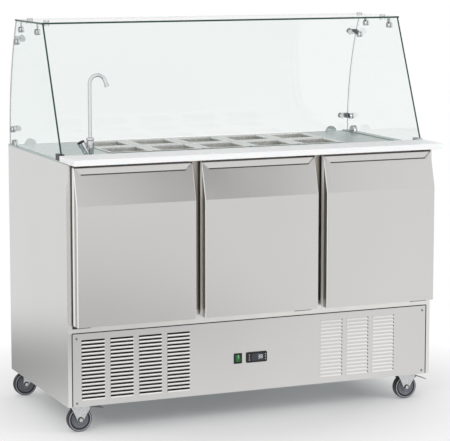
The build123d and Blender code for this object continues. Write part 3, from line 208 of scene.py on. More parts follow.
def all_of(tree, first, *others):
    """The product of patterns: 1 only where each of them is 1."""
    for other in others:
        first = maths(tree, "MULTIPLY", first, other)
    return first


def between(tree, value, low_mm, high_mm):
    """Rises from 0 at one place to 1 at the other; the first may be the higher."""
    return vary(tree, value, 0.0, 1.0, low_mm / 1000, high_mm / 1000)


def band(tree, value, limits_mm, rise_mm, fall_mm):
    """1 between two places and 0 outside them, with soft edges of the given widths."""
    low, high = limits_mm
    return all_of(tree, between(tree, value, low, low + rise_mm),
                  between(tree, value, high, high - fall_mm))


def cover(tree, mask, colour):
    """Lays a colour over what the surface has so far, where the mask is 1."""
    shader = tree.nodes["Principled BSDF"]
    under = shader.inputs["Base Color"].links[0].from_socket
    tree.links.new(blend(tree, mask, under, colour), shader.inputs["Base Color"])


def paint(tree, shader, colour, roughness=None):
    """Links a colour, and a roughness where one is given, to the shader."""
    tree.links.new(colour, shader.inputs["Base Color"])
    if roughness is not None:
        tree.links.new(roughness, shader.inputs["Roughness"])


def bump(tree, shader, height, depth_mm, strength=1.0):
    """Relief of the given depth, from a pattern from 0 to 1."""
    made = add(tree, "ShaderNodeBump", {
        "Height": height, "Distance": depth_mm / 1000, "Strength": strength})
    tree.links.new(made.outputs["Normal"], shader.inputs["Normal"])


# ---- Materials: metals ----

def satin_stainless(name, along, dark, light, rough=0.30, cloud_mm=300, relief=0.12):
    """Stainless sheet, belt-brushed one way: a soft sheen, faint lines and slow clouding.

    The real scratches are 0.05 mm wide, so they are drawn 2.5 mm wide to show at all.
    """
    made, tree, shader, place = begin(name, light, rough, metallic=1.0)
    stretch = [200 if axis in along else 1 for axis in "XYZ"]
    grain = noise(tree, place, 2.5, stretch, detail=3.0)
    cloud = noise(tree, place, cloud_mm)
    mixed = maths(tree, "MULTIPLY_ADD", grain, 0.25, cloud)
    shade = vary(tree, mixed, 0.0, 1.0, 0.3, 0.95)
    paint(tree, shader, blend(tree, shade, dark, light),
          vary(tree, grain if relief else cloud, rough - 0.03, rough + 0.04, 0.1, 0.9))
    if relief:
        bump(tree, shader, grain, 0.01, relief)
    return made


def side_stainless():
    """Satin side sheets, whose front flanges are painted paler beside the doors: a painted highlight."""
    made = satin_stainless("satin_stainless_side_sheets", "Z", "#cbcbca", "#cececd", 0.22)
    tree = made.node_tree
    # Painted highlight: faces turned to the front, the flanges, are paler.
    cover(tree, vary(tree, coordinate(tree, "Normal", "Y"), 0.0, 1.0, -0.7, -0.9), "#dededc")
    return made


def frame_stainless():
    """Satin front frame; mullions painted brown-grey, a painted reflection of the gaskets closing on
    them.
    """
    made = satin_stainless("satin_stainless_front_frame", "Z", "#dddcd9", "#e6e5e2", 0.30, 60)
    tree = made.node_tree
    side = maths(tree, "ABSOLUTE", coordinate(tree, "Object", "X"))
    height = coordinate(tree, "Object", "Z")
    mullions = all_of(tree, between(tree, side, FRAME_STILE_X, FRAME_STILE_X - 10),
                      between(tree, height, FRAME_RAIL_Z, FRAME_RAIL_Z + 2))
    # Painted reflection: the mullions between the doors are brown-grey.
    cover(tree, mullions, "#aaa49b")
    return made


def door_stainless():
    """Satin sheet of the doors, with light and shade painted along their folds.

    The grip has painted shade just under its lip, and the top fold the board's painted shadow. Each
    flank has painted highlights along its front folds, a painted reflection of the dark gap behind
    them and, further back, a pale, non-metallic painted reflection of the neighbouring door.
    Depth is measured back from the sloped plane, y = DOOR_FRONT + DOOR_LEAN * (z - DOOR_BEND_Z).
    """
    made = satin_stainless("satin_stainless_doors", "YZ", "#d1d0ce", "#d4d3d1", 0.25, relief=0)
    tree = made.node_tree
    y = coordinate(tree, "Object", "Y")
    z = coordinate(tree, "Object", "Z")
    turn = maths(tree, "ABSOLUTE", coordinate(tree, "Normal", "X"))
    flank = vary(tree, turn, 0.0, 1.0, 0.75, 0.85)
    front = vary(tree, turn, 1.0, 0.0, 0.3, 0.5)
    rounding = vary(tree, turn, 0.0, 1.0, 0.15, 0.3)
    slope = maths(tree, "MULTIPLY_ADD", z, -DOOR_LEAN, (DOOR_LEAN * DOOR_BEND_Z - DOOR_FRONT) / 1000)
    depth = maths(tree, "ADD", y, slope)
    front_y, inner_y = DOOR_FLANK_YS
    # Painted shade just under the grip's lip.
    pocket = all_of(tree, between(tree, depth, 0.8, 1.6), front, band(tree, z, DOOR_GRIP_ZS, 8, 2))
    cover(tree, pocket, "#55534f")
    # Painted shadow of the board on the top fold.
    top = all_of(tree, front, between(tree, z, DOOR_TOP_FOLD_Z, DOOR_TOP_FOLD_Z + 1.5))
    cover(tree, top, "#4c4a47")
    # Painted reflection of the dark gap on each flank, behind its front fold.
    cover(tree, all_of(tree, flank, band(tree, y, DOOR_FLANK_YS, 2, 2)), "#b5b2ad")
    # Painted highlight along each flank's front fold.
    fold = all_of(tree, rounding, between(tree, y, front_y + 0.4, front_y - 0.4))
    cover(tree, fold, "#fcfcfb")
    # Painted highlight along the rounded edges where the slope begins.
    slope_fold = all_of(tree, rounding, between(tree, z, DOOR_BEND_Z - 2, DOOR_BEND_Z),
                        between(tree, depth, DOOR_FOLD_W + 0.3, DOOR_FOLD_W - 0.3))
    cover(tree, slope_fold, "#fcfcfb")
    # Painted reflection of the neighbouring door: the back of each flank is pale and not metallic.
    pale = all_of(tree, flank, between(tree, y, inner_y - 1, inner_y + 1))
    cover(tree, pale, "#fbfaf7")
    metal = maths(tree, "SUBTRACT", 1.0, pale)
    tree.links.new(metal, tree.nodes["Principled BSDF"].inputs["Metallic"])
    return made


def louvred_stainless():
    """Satin sheet of the base panel, whose pressed lips carry a painted highlight.

    The mouths of the left louvres are painted dark above each lip, a painted shade of the open slot
    with the filter behind it. A mouth is near the middle of its louvre both ways, and that distance
    is a triangle wave of X and of Z.
    """
    made = satin_stainless("satin_stainless_base_panel", "X", "#cfcecd", "#d4d3d2", 0.32)
    tree = made.node_tree
    x, y, z = (coordinate(tree, "Object", axis) for axis in "XYZ")
    # Painted highlight: what stands proud of the face, the louvres' lips, is near white.
    cover(tree, between(tree, y, FRONT - 0.6, FRONT - 1.4), "#f8f7f5")
    mouth = []
    for value, first, pitch, size in ((x, LOUVRE_X, LOUVRE_PITCH_X, LOUVRE_MOUTH_W),
                                      (z, LOUVRE_MOUTH_Z, LOUVRE_PITCH_Z, LOUVRE_MOUTH_H)):
        away = maths(tree, "PINGPONG", maths(tree, "ADD", value, -first / 1000), pitch / 2000)
        mouth.append(between(tree, away, size / 2 + 0.3, size / 2 - 0.3))
    flat = between(tree, y, FRONT - 0.5, FRONT - 0.2)
    columns = band(tree, x, LEFT_LOUVRE_XS, 1, 1)
    rows = band(tree, z, LOUVRE_ZS, 1, 1)
    # Painted shade in the mouths of the left louvres.
    cover(tree, all_of(tree, *mouth, flat, columns, rows), "#24211f")
    return made


def drawn_stainless():
    """Deep-drawn stainless pans: painted light on the rim, painted shade on walls with faint draw lines.
    """
    made, tree, shader, place = begin("deep_drawn_stainless", "#b8b8b4", 0.24, metallic=1.0)
    lines = noise(tree, place, 3, (1, 1, 40))
    haze = noise(tree, place, 45)
    # Painted shade: the walls are greyer than the rim.
    paint(tree, shader, blend(tree, vary(tree, haze, 0.0, 1.0), "#a6a6a1", "#bebeba"),
          vary(tree, lines, 0.18, 0.3))
    # Painted light: the rim, at the top, is paler.
    cover(tree, between(tree, coordinate(tree, "Object", "Z"), TOP_Z - 8, TOP_Z - 1), "#d4d5d3")
    return made


def chrome():
    """Bright chromium on brass: mirror-like, wiping smears, painted reflection darker where it turns
    away.
    """
    made, tree, shader, place = begin("bright_chrome_plate", "#d8dadc", 0.06, metallic=1.0)
    smear = noise(tree, place, 14, (1, 1, 3))
    # Painted reflection: the colour darkens where the surface turns away.
    turned_away = add(tree, "ShaderNodeLayerWeight", {"Blend": 0.5}).outputs["Facing"]
    paint(tree, shader, blend(tree, vary(tree, turned_away, 0.0, 1.0, 0.25, 0.75), "#dcdee0", "#5c6065"),
          vary(tree, smear, 0.04, 0.11))
    return made


def zinc_plate(name, dark, light, rough):
    """Zinc-plated pressed steel: a dull grey, slightly cloudy and faintly bluish."""
    made, tree, shader, place = begin(name, light, rough, metallic=1.0)
    cloud = noise(tree, place, 9, detail=4.0)
    paint(tree, shader, blend(tree, vary(tree, cloud, 0.0, 1.0), dark, light),
          vary(tree, cloud, rough - 0.06, rough + 0.08))
    bump(tree, shader, noise(tree, place, 1.2), 0.02)
    return made


def galvanised():
    """Hot-dip galvanised sheet: flat crystals of zinc about 12 mm across."""
    made, tree, shader, place = begin("galvanised_sheet_spangle", "#aeb2b3", 0.42, metallic=1.0)
    spangle = cells(tree, place, 12, output="Color")
    tone = add(tree, "ShaderNodeSeparateColor", {0: spangle}).outputs[0]
    paint(tree, shader, blend(tree, tone, "#9a9fa1", "#bcc0c1"), vary(tree, tone, 0.34, 0.5, 0, 1))
    return made


def fin_aluminium():
    """Mill-finish aluminium fins on copper tubes: pale, with dust between the fins."""
    made, tree, shader, place = begin("mill_finish_aluminium", "#c4c6c8", 0.38, metallic=1.0)
    dust = noise(tree, place, 30, (1, 1, 2), detail=4.0)
    paint(tree, shader, blend(tree, vary(tree, dust, 0.0, 1.0), "#a9a8a4", "#cccdce"),
          vary(tree, dust, 0.5, 0.32))
    return made


# ---- Materials: glass, plastics, rubber, paint, foam ----

def float_glass(name, axis, edge_along):
    """Toughened float glass, 6 mm: clear on its faces, deep green where its ground edges show.

    The green follows the normal. It lies where the normal points along the axis (the ends of the
    bent pane), or where it points away from it (the edges of a flat pane square to the axis).
    """
    made, tree, shader, place = begin(name, "#f4f8f7", 0.0, IOR=1.5)
    along = maths(tree, "ABSOLUTE", coordinate(tree, "Normal", axis))
    away, towards = (0.0, 1.0) if edge_along else (1.0, 0.0)
    edge = vary(tree, along, away, towards, 0.55, 0.65)
    grind = noise(tree, place, 5)
    green = blend(tree, vary(tree, grind, 0.0, 1.0), "#0f2f27", "#1d4a3d")
    paint(tree, shader, blend(tree, edge, "#f4f8f7", green), maths(tree, "MULTIPLY", edge, 0.35))
    clear = vary(tree, edge, 1.0, 0.0, 0.0, 1.0)
    tree.links.new(clear, shader.inputs["Transmission Weight"])
    return made


def moulded_plastic(name, dark, light, rough, grain_mm=0.9, depth_mm=0.03, **sockets):
    """Injection-moulded plastic: one colour with a fine spark-eroded texture and slight shading."""
    made, tree, shader, place = begin(name, light, rough, **sockets)
    grain = noise(tree, place, grain_mm)
    cloud = noise(tree, place, 25)
    paint(tree, shader, blend(tree, vary(tree, cloud, 0.0, 1.0), dark, light),
          vary(tree, grain, rough - 0.05, rough + 0.07))
    bump(tree, shader, grain, depth_mm)
    return made


def end_block_plastic():
    """Moulded black plastic of the end blocks; the right one has a pale grey top above the board."""
    made = moulded_plastic("black_abs_end_blocks", "#101012", "#1b1b1d", 0.42)
    tree = made.node_tree
    height = coordinate(tree, "Object", "Z")
    right_top = all_of(tree, between(tree, coordinate(tree, "Object", "X"), 0, 10),
                       between(tree, height, BLOCK_PALE_Z, BLOCK_PALE_Z + 1))
    cover(tree, right_top, "#c3c8c8")
    return made


def cutting_polyethylene():
    """White high-density polyethylene slab: waxy and matt, with fine knife marks on its top."""
    made, tree, shader, place = begin(
        "white_polyethylene_slab", "#f8f9fa", 0.5, Subsurface_Weight=0.15, Subsurface_Scale=0.004)
    marks = noise(tree, place, 1.8, (60, 1, 1), detail=3.0)
    cross = noise(tree, place, 2.2, (8, 30, 1))
    worn = vary(tree, all_of(tree, marks, cross), 0.0, 1.0, 0.1, 0.3)
    paint(tree, shader, blend(tree, worn, "#f2f4f4", "#fbfcfd"),
          vary(tree, marks, 0.42, 0.6))
    bump(tree, shader, marks, 0.05)
    return made


def rubber(name, dark, light, rough):
    """Rubber, soft PVC, the filters' mat and black painted shadow strips: matt, with grey bloom in
    patches.
    """
    made, tree, shader, place = begin(name, light, rough)
    bloom = noise(tree, place, 18, detail=5.0)
    paint(tree, shader, blend(tree, vary(tree, bloom, 0.0, 1.0), dark, light),
          vary(tree, bloom, rough - 0.08, rough + 0.1))
    bump(tree, shader, noise(tree, place, 1.5), 0.05)
    return made


def foam():
    """Rigid polyurethane foam: pale cream with closed cells about 1.5 mm across."""
    made, tree, shader, place = begin("rigid_polyurethane_foam", "#e6d9ae", 0.9)
    cell = cells(tree, place, 1.5)
    paint(tree, shader, blend(tree, vary(tree, cell, 0.0, 1.0, 0.0, 0.6), "#cdbd8a", "#eee2bb"))
    bump(tree, shader, cell, 0.3)
    return made


def enamel(name, dark, light, rough):
    """Stoved enamel or powder coat on steel: an even gloss with slight orange peel."""
    made, tree, shader, place = begin(name, light, rough, Coat_Weight=0.4, Coat_Roughness=0.15)
    peel = noise(tree, place, 3)
    paint(tree, shader, blend(tree, vary(tree, peel, 0.0, 1.0), dark, light))
    bump(tree, shader, peel, 0.06)
    return made


def lamp_glow(name, colour, glow, strength):
    """Lit plastic of a display or a lens: the colour shines a little by itself, unevenly."""
    made, tree, shader, place = begin(name, colour, 0.3, Emission_Strength=strength)
    uneven = noise(tree, place, 4)
    lit = blend(tree, vary(tree, uneven, 0.0, 1.0), glow, colour)
    tree.links.new(lit, shader.inputs["Emission Color"])
    return made


side_steel = side_stainless()
door_steel = door_stainless()
frame_steel = frame_stainless()
panel_steel = louvred_stainless()
# Painted shade: the worktop under the glass is darker and greener than the other stainless.
top_steel = satin_stainless("satin_stainless_worktop", "X", "#a5b0ae", "#aeb8b6", 0.28)
bar_steel = satin_stainless("satin_stainless_bars", "X", "#c0c2c0", "#cdcecc", 0.28)
liner_steel = satin_stainless("bright_annealed_stainless_liner", "X", "#c4c4c2", "#cfcfcd", 0.24)
pan_steel = drawn_stainless()
chrome_plate = chrome()
fork_zinc = zinc_plate("zinc_plated_fork_steel", "#b9bcbc", "#d2d5d4", 0.38)
hinge_zinc = zinc_plate("dark_zinc_hinge_steel", "#3a3a3a", "#565656", 0.45)
screw_zinc = zinc_plate("zinc_plated_screws", "#8d8f90", "#a3a5a6", 0.35)
galvanised_zinc = galvanised()
fin_metal = fin_aluminium()
side_glass = float_glass("float_glass_side_panes", "X", False)
back_glass = float_glass("float_glass_bent_pane", "X", True)
top_glass = float_glass("float_glass_top_pane", "Z", False)
board_white = cutting_polyethylene()
black_plastic = moulded_plastic("black_abs_moulding", "#070708", "#0f0f10", 0.55)
end_black = end_block_plastic()
fan_plastic = moulded_plastic("black_nylon_fan", "#18181a", "#222224", 0.5)
green_plastic = moulded_plastic("green_translucent_rocker", "#135327", "#1d7036", 0.3,
                                Emission_Strength=0.05, Emission_Color=linear("#1d7036"))
wheel_grey = moulded_plastic("blue_grey_polypropylene_disc", "#63666f", "#777a83", 0.4)
tyre_black = rubber("black_elastic_rubber_tyre", "#202022", "#2e2e30", 0.6)
# Painted shadow: black strips along the base panel's edges.
shadow_strip_black = rubber("black_painted_shadow_strip", "#1a1a1a", "#2a2a29", 0.6)
# Black filter mat, whose black is also painted shade behind the louvres.
filter_and_shade_black = rubber("black_filter_mat_and_shade", "#0b0b0b", "#161616", 0.9)
gasket_grey = rubber("brown_grey_pvc_gasket", "#6b6762", "#7c7872", 0.6)
pedal_zinc = zinc_plate("zinc_plated_pedal_steel", "#5f6162", "#8a8c8d", 0.4)
ring_grey = rubber("grey_side_wall_ring", "#9a9ca2", "#aeb0b5", 0.5)
foam_cream = foam()
compressor_black = enamel("black_stoved_enamel", "#0c0c0d", "#151516", 0.3)
wire_white = enamel("white_powder_coated_wire", "#e4e4e1", "#f0f0ee", 0.4)
window_blue = moulded_plastic("smoked_display_window", "#2c2f38", "#3a3e49", 0.15, 6, 0.0)
digit_white = lamp_glow("white_display_segment", "#c9ced8", "#b4bccb", 0.3)
key_grey = moulded_plastic("pad_printed_key_marks", "#8b8f97", "#a5a9b0", 0.4)
mark_green = lamp_glow("pale_green_rocker_lens", "#6fae7c", "#5c9a69", 0.12)


def put(material, *names):
    """Gives CAD nodes a material."""
    for name in names:
        mesh = nodes[name].data
        for i in range(len(mesh.materials)):
            mesh.materials[i] = material
        if not mesh.materials:
            mesh.materials.append(material)


put(side_steel, "outer_casing")
put(frame_steel, "door_frame")
put(panel_steel, "base_panel")
put(top_steel, "worktop")
put(bar_steel, "pan_divider_bars")
put(liner_steel, "inner_liner")
put(hinge_zinc, "hinge_brackets")
put(screw_zinc, "panel_screws")
put(galvanised_zinc, "base_tray", "fan_shroud")
put(fin_metal, "condenser", "evaporator")
put(foam_cream, "insulation")
put(compressor_black, "compressor")
put(wire_white, "wire_shelves")
put(black_plastic, "controller", "switch_frame", "cable_gland")
put(end_black, "end_blocks")
put(fan_plastic, "condenser_fan")
put(side_glass, "side_glasses")
put(back_glass, "back_glass")
put(top_glass, "top_glass")
put(chrome_plate, "glass_connectors", "glass_clamps", "tap_body", "tap_spout", "tap_knob")
put(fork_zinc, "caster_mounts")
put(green_plastic, "power_rocker")
put(board_white, "cutting_board")
put(pedal_zinc, "brake_pedal_left", "brake_pedal_right")
for number in (1, 2, 3):
    put(door_steel, f"door_{number}_skin")
    put(liner_steel, f"door_{number}_panel")
    put(gasket_grey, f"door_{number}_gasket")
for number in range(1, 11):
    put(pan_steel, f"pan_{number}")
for name in CASTERS:
    put(fork_zinc, f"caster_fork_{name}")
    put(tyre_black, f"caster_wheel_{name}")


# ---- Surfaces ----

def cell_corners(rows, columns):
    """The four corners of each cell of a grid of points whose columns close on themselves."""
    row = np.arange(rows - 1)[:, None]
    column = np.arange(columns)[None, :]
    after = (column + 1) % columns
    corners = [row * columns + column, row * columns + after,
               (row + 1) * columns + after, (row + 1) * columns + column]
    return np.stack([np.broadcast_to(c, (rows - 1, columns)) for c in corners], -1).reshape(-1, 4)


def piece(name, grids, material, body, crease=35):
    """One object from closed grids of points in millimetres, each rows x columns x 3.

    Doubles at poles and seams are merged, then every closed shell is turned to face outwards.
    """
    points, faces, count = [], [], 0
    for grid in grids:
        rows, columns = grid.shape[:2]
        faces.append(cell_corners(rows, columns) + count)
        points.append(grid.reshape(-1, 3) / 1000)
        count += rows * columns
    mesh = bpy.data.meshes.new(name)
    mesh.from_pydata(np.concatenate(points).tolist(), [], np.concatenate(faces).tolist())
    work = bmesh.new()
    work.from_mesh(mesh)
    bmesh.ops.remove_doubles(work, verts=work.verts, dist=2e-6)
    bmesh.ops.recalc_face_normals(work, faces=work.faces)
    work.to_mesh(mesh)
    work.free()
    mesh.polygons.foreach_set("use_smooth", np.ones(len(mesh.polygons), bool))
    mesh.set_sharp_from_angle(angle=math.radians(crease))
    mesh.materials.append(material)
    made = bpy.data.objects.new(name, mesh)
    bpy.context.scene.collection.objects.link(made)
    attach(made, body)
    return made


def turned(profile, place, axis, steps=48):
    """A lathe surface: each (radius, along) of the profile is carried round the axis.

    Point = place + along * axis + radius * (cos t * u + sin t * v), u and v square to the axis.
    """
    radius, along = np.array(profile, float).T
    axis = np.array(axis, float) / np.linalg.norm(axis)
    side = np.array((0, 0, 1.0)) if abs(axis[2]) < 0.9 else np.array((1.0, 0, 0))
    u = np.cross(axis, side)
    u /= np.linalg.norm(u)
    v = np.cross(axis, u)
    t = np.linspace(0, 2 * np.pi, steps, endpoint=False)
    ring = np.cos(t)[:, None] * u + np.sin(t)[:, None] * v
    return np.array(place, float) + along[:, None, None] * axis + radius[:, None, None] * ring


def rounded_ring(width, depth, radius, steps):
    """Points round a rectangle whose corners are quarter circles, as x and y."""
    t = np.linspace(0, np.pi / 2, steps)
    rings = []
    for k, (sx, sy) in enumerate(((1, 1), (-1, 1), (-1, -1), (1, -1))):
        turn = t + k * np.pi / 2
        rings.append(np.stack([
            sx * (width / 2 - radius) + radius * np.cos(turn),
            sy * (depth / 2 - radius) + radius * np.sin(turn)], 1))
    return np.concatenate(rings)


def rounded_layers(width, depth, radius, layers, steps=7):
    """Rounded rectangles stacked up: each layer is an inset from the outline and a height.

    The corner radius shrinks with the inset, and the last inset may reach the middle.
    """
    rows = []
    for inset, height in layers:
        w, d = max(width - 2 * inset, 0.0), max(depth - 2 * inset, 0.0)
        ring = rounded_ring(w, d, min(max(radius - inset, 0.5), w / 2, d / 2), steps)
        rows.append(np.column_stack([ring, np.full(len(ring), height)]))
    return np.array(rows)


def facing_front(grid, x, y, z):
    """Turns a grid drawn flat, with its height up, so that its height points at the cook."""
    return np.stack([x + grid[..., 0], y - grid[..., 2], z + grid[..., 1]], -1)


def pan_surfaces():
    """A sixth-size pan: rolled rim, wall with a stacking step, rounded floor; 1 mm sheet.

    Rounded rectangles are stacked down the outside and up the inside, closed at both floors.
    """
    middle, floor_z = PAN_W / 2, -PAN_DEPTH
    outside = [(middle, floor_z), (30, floor_z), (21.5, floor_z + 0.4), (16.5, floor_z + 3.5),
               (14.8, floor_z + 9), (12.1, -26), (11.6, -22.5), (10.5, -18.5), (10.1, -1.4), (9, 0),
               (1, 0), (0.3, 0.3), (0, 1.1)]
    inside = [(0.3, 1.8), (1, 2.2), (7.6, 2.2), (9.6, 1.7), (10.8, 0.3), (11.2, -3), (11.6, -18),
              (12.7, -22), (13.2, -26), (15.9, floor_z + 9.4), (17.6, floor_z + 4.4),
              (22, floor_z + 1.6), (30, floor_z + 1), (middle, floor_z + 1)]
    return rounded_layers(PAN_W, PAN_L, PAN_CORNER_R, outside + inside)


pan_grid = pan_surfaces()
for number in range(1, 11):
    x = PAN_XS[(number - 1) % 5]
    y = PAN_YS[(number - 1) // 5]
    made = piece(f"gastronorm_pan_{number}", [pan_grid + (x, y, TOP_Z + 0.3)], pan_steel,
                 f"pan_{number}")
    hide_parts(f"pan_{number}")


# ---- Casters ----

def wheel_surfaces(x, y):
    """Tyre, side-wall bands and disc of one wheel, all turned about its axle.

    The tyre has a flat tread with round shoulders and sunk sides; the disc is dished round its hub.
    """
    w, r = WHEEL_HALF_W, WHEEL_R
    half = [(r, 0), (r, w - 6), (r - 0.7, w - 2.8), (r - 2, w - 1.1), (r - 3, w - 1.1),
            (r - 3.2, w - 3.4), (r - 12.5, w - 3.6)]
    tyre = half[::-1] + [(a, -b) for a, b in half[1:]] + [(r - 12.5, 0), half[-1]]
    band = [(r - 3.2, w - 3), (r - 3.4, w - 1), (r - 4, w - 0.5), (r - 5.6, w - 0.5), (r - 6.4, w - 1.2),
            (r - 6.6, w - 3), (r - 3.2, w - 3)]
    face = [(r - 12.6, w - 4.5), (r - 12.8, w - 2.4), (r - 14, w - 2), (r - 16, w - 3.4),
            (18, w - 5.5), (15, w - 5), (13.5, w - 0.4), (12.5, w), (4.1, w)]
    disc = face + [(a, -b) for a, b in face[::-1]] + [face[0]]
    place = (x, y, r)
    rings = [turned([(a, way * b) for a, b in band], place, (0, 1, 0), 72) for way in (-1, 1)]
    return turned(tyre, place, (0, 1, 0), 72), rings, turned(disc, place, (0, 1, 0), 72)


def axle_nut(x, y, way):
    """Dark washer and cone nut round the axle's end, turned about the axle.

    The washer lies on the fork's boss and the nut's cone rises to the bolt head.
    """
    profile = [(7.2, 0), (10.2, 0), (10.2, 0.6), (9.6, 1), (8.4, 1.1), (8.2, 2.6), (7.2, 3.2), (7.2, 0)]
    return turned([(a, way * b) for a, b in profile], (x, y + way * FORK_OUT, WHEEL_R), (0, 1, 0), 32)


for name, (x, y, way) in CASTERS.items():
    tyre, rings, disc = wheel_surfaces(x + way * WHEEL_TRAIL, y)
    body = f"wheel_{name}"
    made = piece(f"tyre_{name}", [tyre], tyre_black, body)
    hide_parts(f"caster_wheel_{name}")
    piece(f"wheel_bands_{name}", rings, ring_grey, body)
    piece(f"wheel_disc_{name}", [disc], wheel_grey, body)
    nuts = [axle_nut(x + way * WHEEL_TRAIL, y, side) for side in (-1, 1)]
    piece(f"axle_nuts_{name}", nuts, hinge_zinc, f"fork_{name}")


# ---- Controls ----

def slab(width, height, radius, thick, x, y, z):
    """A rounded plate with softened front edges that faces the cook."""
    edge = min(0.4, thick / 2)
    layers = [(min(width, height) / 2, 0), (0, 0), (0, thick - edge), (edge, thick),
              (min(width, height) / 2, thick)]
    return facing_front(rounded_layers(width, height, radius, layers, 5), x, y, z)


# Each segment's place across and up the digit, and whether it stands upright
SEGMENTS = {"a": (0, 1, 0), "b": (0.5, 0.5, 1), "c": (0.5, -0.5, 1), "d": (0, -1, 0),
            "e": (-0.5, -0.5, 1), "f": (-0.5, 0.5, 1), "g": (0, 0, 0)}
DIGITS = {"3": "abcdg", "8": "abcdefg"}
DIGIT_XS = {"3": 8, "8": 17.5}
DIGIT_UP = 1
DIGIT_W = 5.5
DIGIT_H = 12
DIGIT_STROKE = 1.8
WINDOW_X = 4
WINDOW_SIZE = (46, 25)
KEY_XS = (-28, 33)
KEY_ZS = (-8.5, 0, 8.5)
KEY_SIZE = (4.5, 5)


def digit(sign, x, y, z):
    """A seven-segment digit: each segment a thin rounded plate between the digit's corners."""
    made = []
    for key in DIGITS[sign]:
        across, up, upright = SEGMENTS[key]
        length = (DIGIT_H / 2 if upright else DIGIT_W) - 0.4
        size = (DIGIT_STROKE, length) if upright else (length, DIGIT_STROKE)
        made.append(slab(*size, 0.8, 0.3, x + across * DIGIT_W, y, z + up * DIGIT_H / 2))
    return made


window_y = FRONT - BEZEL_OUT
piece("display_window",
      [slab(*WINDOW_SIZE, 2.5, 0.6, CONTROLLER_X + WINDOW_X, window_y, CONTROL_Z)],
      window_blue, "cabinet")
piece("display_digits",
      [plate for sign, dx in DIGIT_XS.items()
       for plate in digit(sign, CONTROLLER_X + dx, window_y - 0.5, CONTROL_Z + DIGIT_UP)],
      digit_white, "cabinet")
piece("display_keys",
      [slab(*KEY_SIZE, 1.2, 0.7, CONTROLLER_X + dx, window_y, CONTROL_Z + dz)
       for dx in KEY_XS for dz in KEY_ZS],
      key_grey, "cabinet")


def rocker_lens():
    """Lengthwise lens on the rocker's upper half: a thin ellipsoid, half sunk in the sloping face.

    Across is 2.6 sin t cos u, up is 5 + 7 cos t and out is 3.7 + 0.45 sin t sin u + 0.05 up. Up and
    out are then turned by the rocker's tilt about its pivot.
    """
    t = np.linspace(0, np.pi, 9)
    rows = np.stack([np.sin(t) * 2.6, np.cos(t)], 1)
    turn = np.linspace(0, 2 * np.pi, 24, endpoint=False)
    x = rows[:, :1] * np.cos(turn)
    up = 5 + 7 * rows[:, 1:] + 0 * turn
    out = 3.7 + rows[:, :1] * 0.45 * np.sin(turn) + 0.05 * up
    y = ROCKER_PIVOT_Y - out * math.cos(ROCKER_TILT) + up * math.sin(ROCKER_TILT)
    z = CONTROL_Z + up * math.cos(ROCKER_TILT) + out * math.sin(ROCKER_TILT)
    return np.stack([SWITCH_X + 1.5 + x, y, z], -1)


piece("rocker_lens", [rocker_lens()], mark_green, "power_rocker")


def screw_head(x, z):
    """Pan head with a cross recess, height over radius r from 0 to 1.

    Height = 1.9 sqrt(1 - r^2), less 0.9 inside a cross whose arms are 1.1 wide and 2.6 long.
    """
    rings = np.linspace(0, 1, 9)[:, None]
    t = np.linspace(0, 2 * np.pi, 32, endpoint=False)[None, :]
    px, pz = SCREW_R * rings * np.cos(t), SCREW_R * rings * np.sin(t)
    dome = 1.9 * np.sqrt(np.clip(1 - rings ** 2, 0, 1)) + 0 * t
    arm = np.minimum(abs(px), abs(pz)) < 0.55
    hollow = np.where(arm & (np.hypot(px, pz) < 2.6), 0.9, 0)
    top = np.stack([x + px, FRONT - dome + hollow, z + pz], -1)
    under = np.stack([x + 0 * px[:1], FRONT + 0 * px[:1], z + 0 * pz[:1]], -1)
    return np.concatenate([top, under])


made = piece("panel_screw_heads", [screw_head(side * SCREW_X, z) for side in (-1, 1) for z in SCREW_ZS],
             screw_zinc, "cabinet", 50)
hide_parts("panel_screws")


# ---- Back sheet: its screws ----

dome_profile = [(0, -0.2), (SCREW_R, -0.2), (SCREW_R, 0.3), (3.6, 1.2), (2, 1.7), (1.2, 1.7),
                (1.2, 0.9), (0, 0.9)]
piece("back_sheet_screws",
      [turned(dome_profile, (side * SCREW_X, BACK, z), (0, 1, 0), 24)
       for side in (-1, 1) for z in BACK_SCREW_ZS],
      screw_zinc, "cabinet")


# ---- Base panel: painted shadow strips and filters ----

panel_middle = sum(BASE_PANEL_ZS) / 2
panel_height = BASE_PANEL_ZS[1] - BASE_PANEL_ZS[0]
# Black strips of painted shadow along the base panel's top and sides.
piece("base_panel_painted_shadow_strips",
      [slab(2 * SHADOW_STRIP_X, SHADOW_STRIP_W, 1, 0.4, 0, FRONT, BASE_PANEL_ZS[1])]
      + [slab(SHADOW_STRIP_W, panel_height, 1, 0.4, side * SHADOW_STRIP_X, FRONT, panel_middle)
         for side in (-1, 1)],
      shadow_strip_black, "cabinet")


def filter_mat(x0, x1):
    """Ribbed dust filter, black as painted shade behind the louvres: a flat rounded section carried
    along X, swaying by a sine of X.

    The section, in y and z, is a rounded rectangle whose middle is at
    y = FRONT + FILTER_IN + FILTER_SWAY * sin(2 pi x / FILTER_PITCH). The first and last sections
    shrink to a point, which closes the ends.
    """
    x = np.concatenate([[x0], np.arange(x0, x1, 2.0), [x1, x1]])
    section = rounded_ring(FILTER_T, FILTER_H, 0.7, 3)
    size = np.ones(len(x))
    size[[0, -1]] = 0
    y = FRONT + FILTER_IN + FILTER_SWAY * np.sin(2 * np.pi * x / FILTER_PITCH)
    across = y[:, None] + size[:, None] * section[:, 0]
    up = FILTER_MIDDLE_Z + size[:, None] * section[:, 1]
    return np.stack([x[:, None] + 0 * across, across, up], -1)


# Black dust filters behind the louvres, whose black is also painted shade.
for name, limits in (("left", LEFT_LOUVRE_XS), ("right", RIGHT_LOUVRE_XS)):
    piece(f"dust_filter_and_shade_{name}", [filter_mat(*limits)], filter_and_shade_black, "cabinet")


# ---- Tap ----

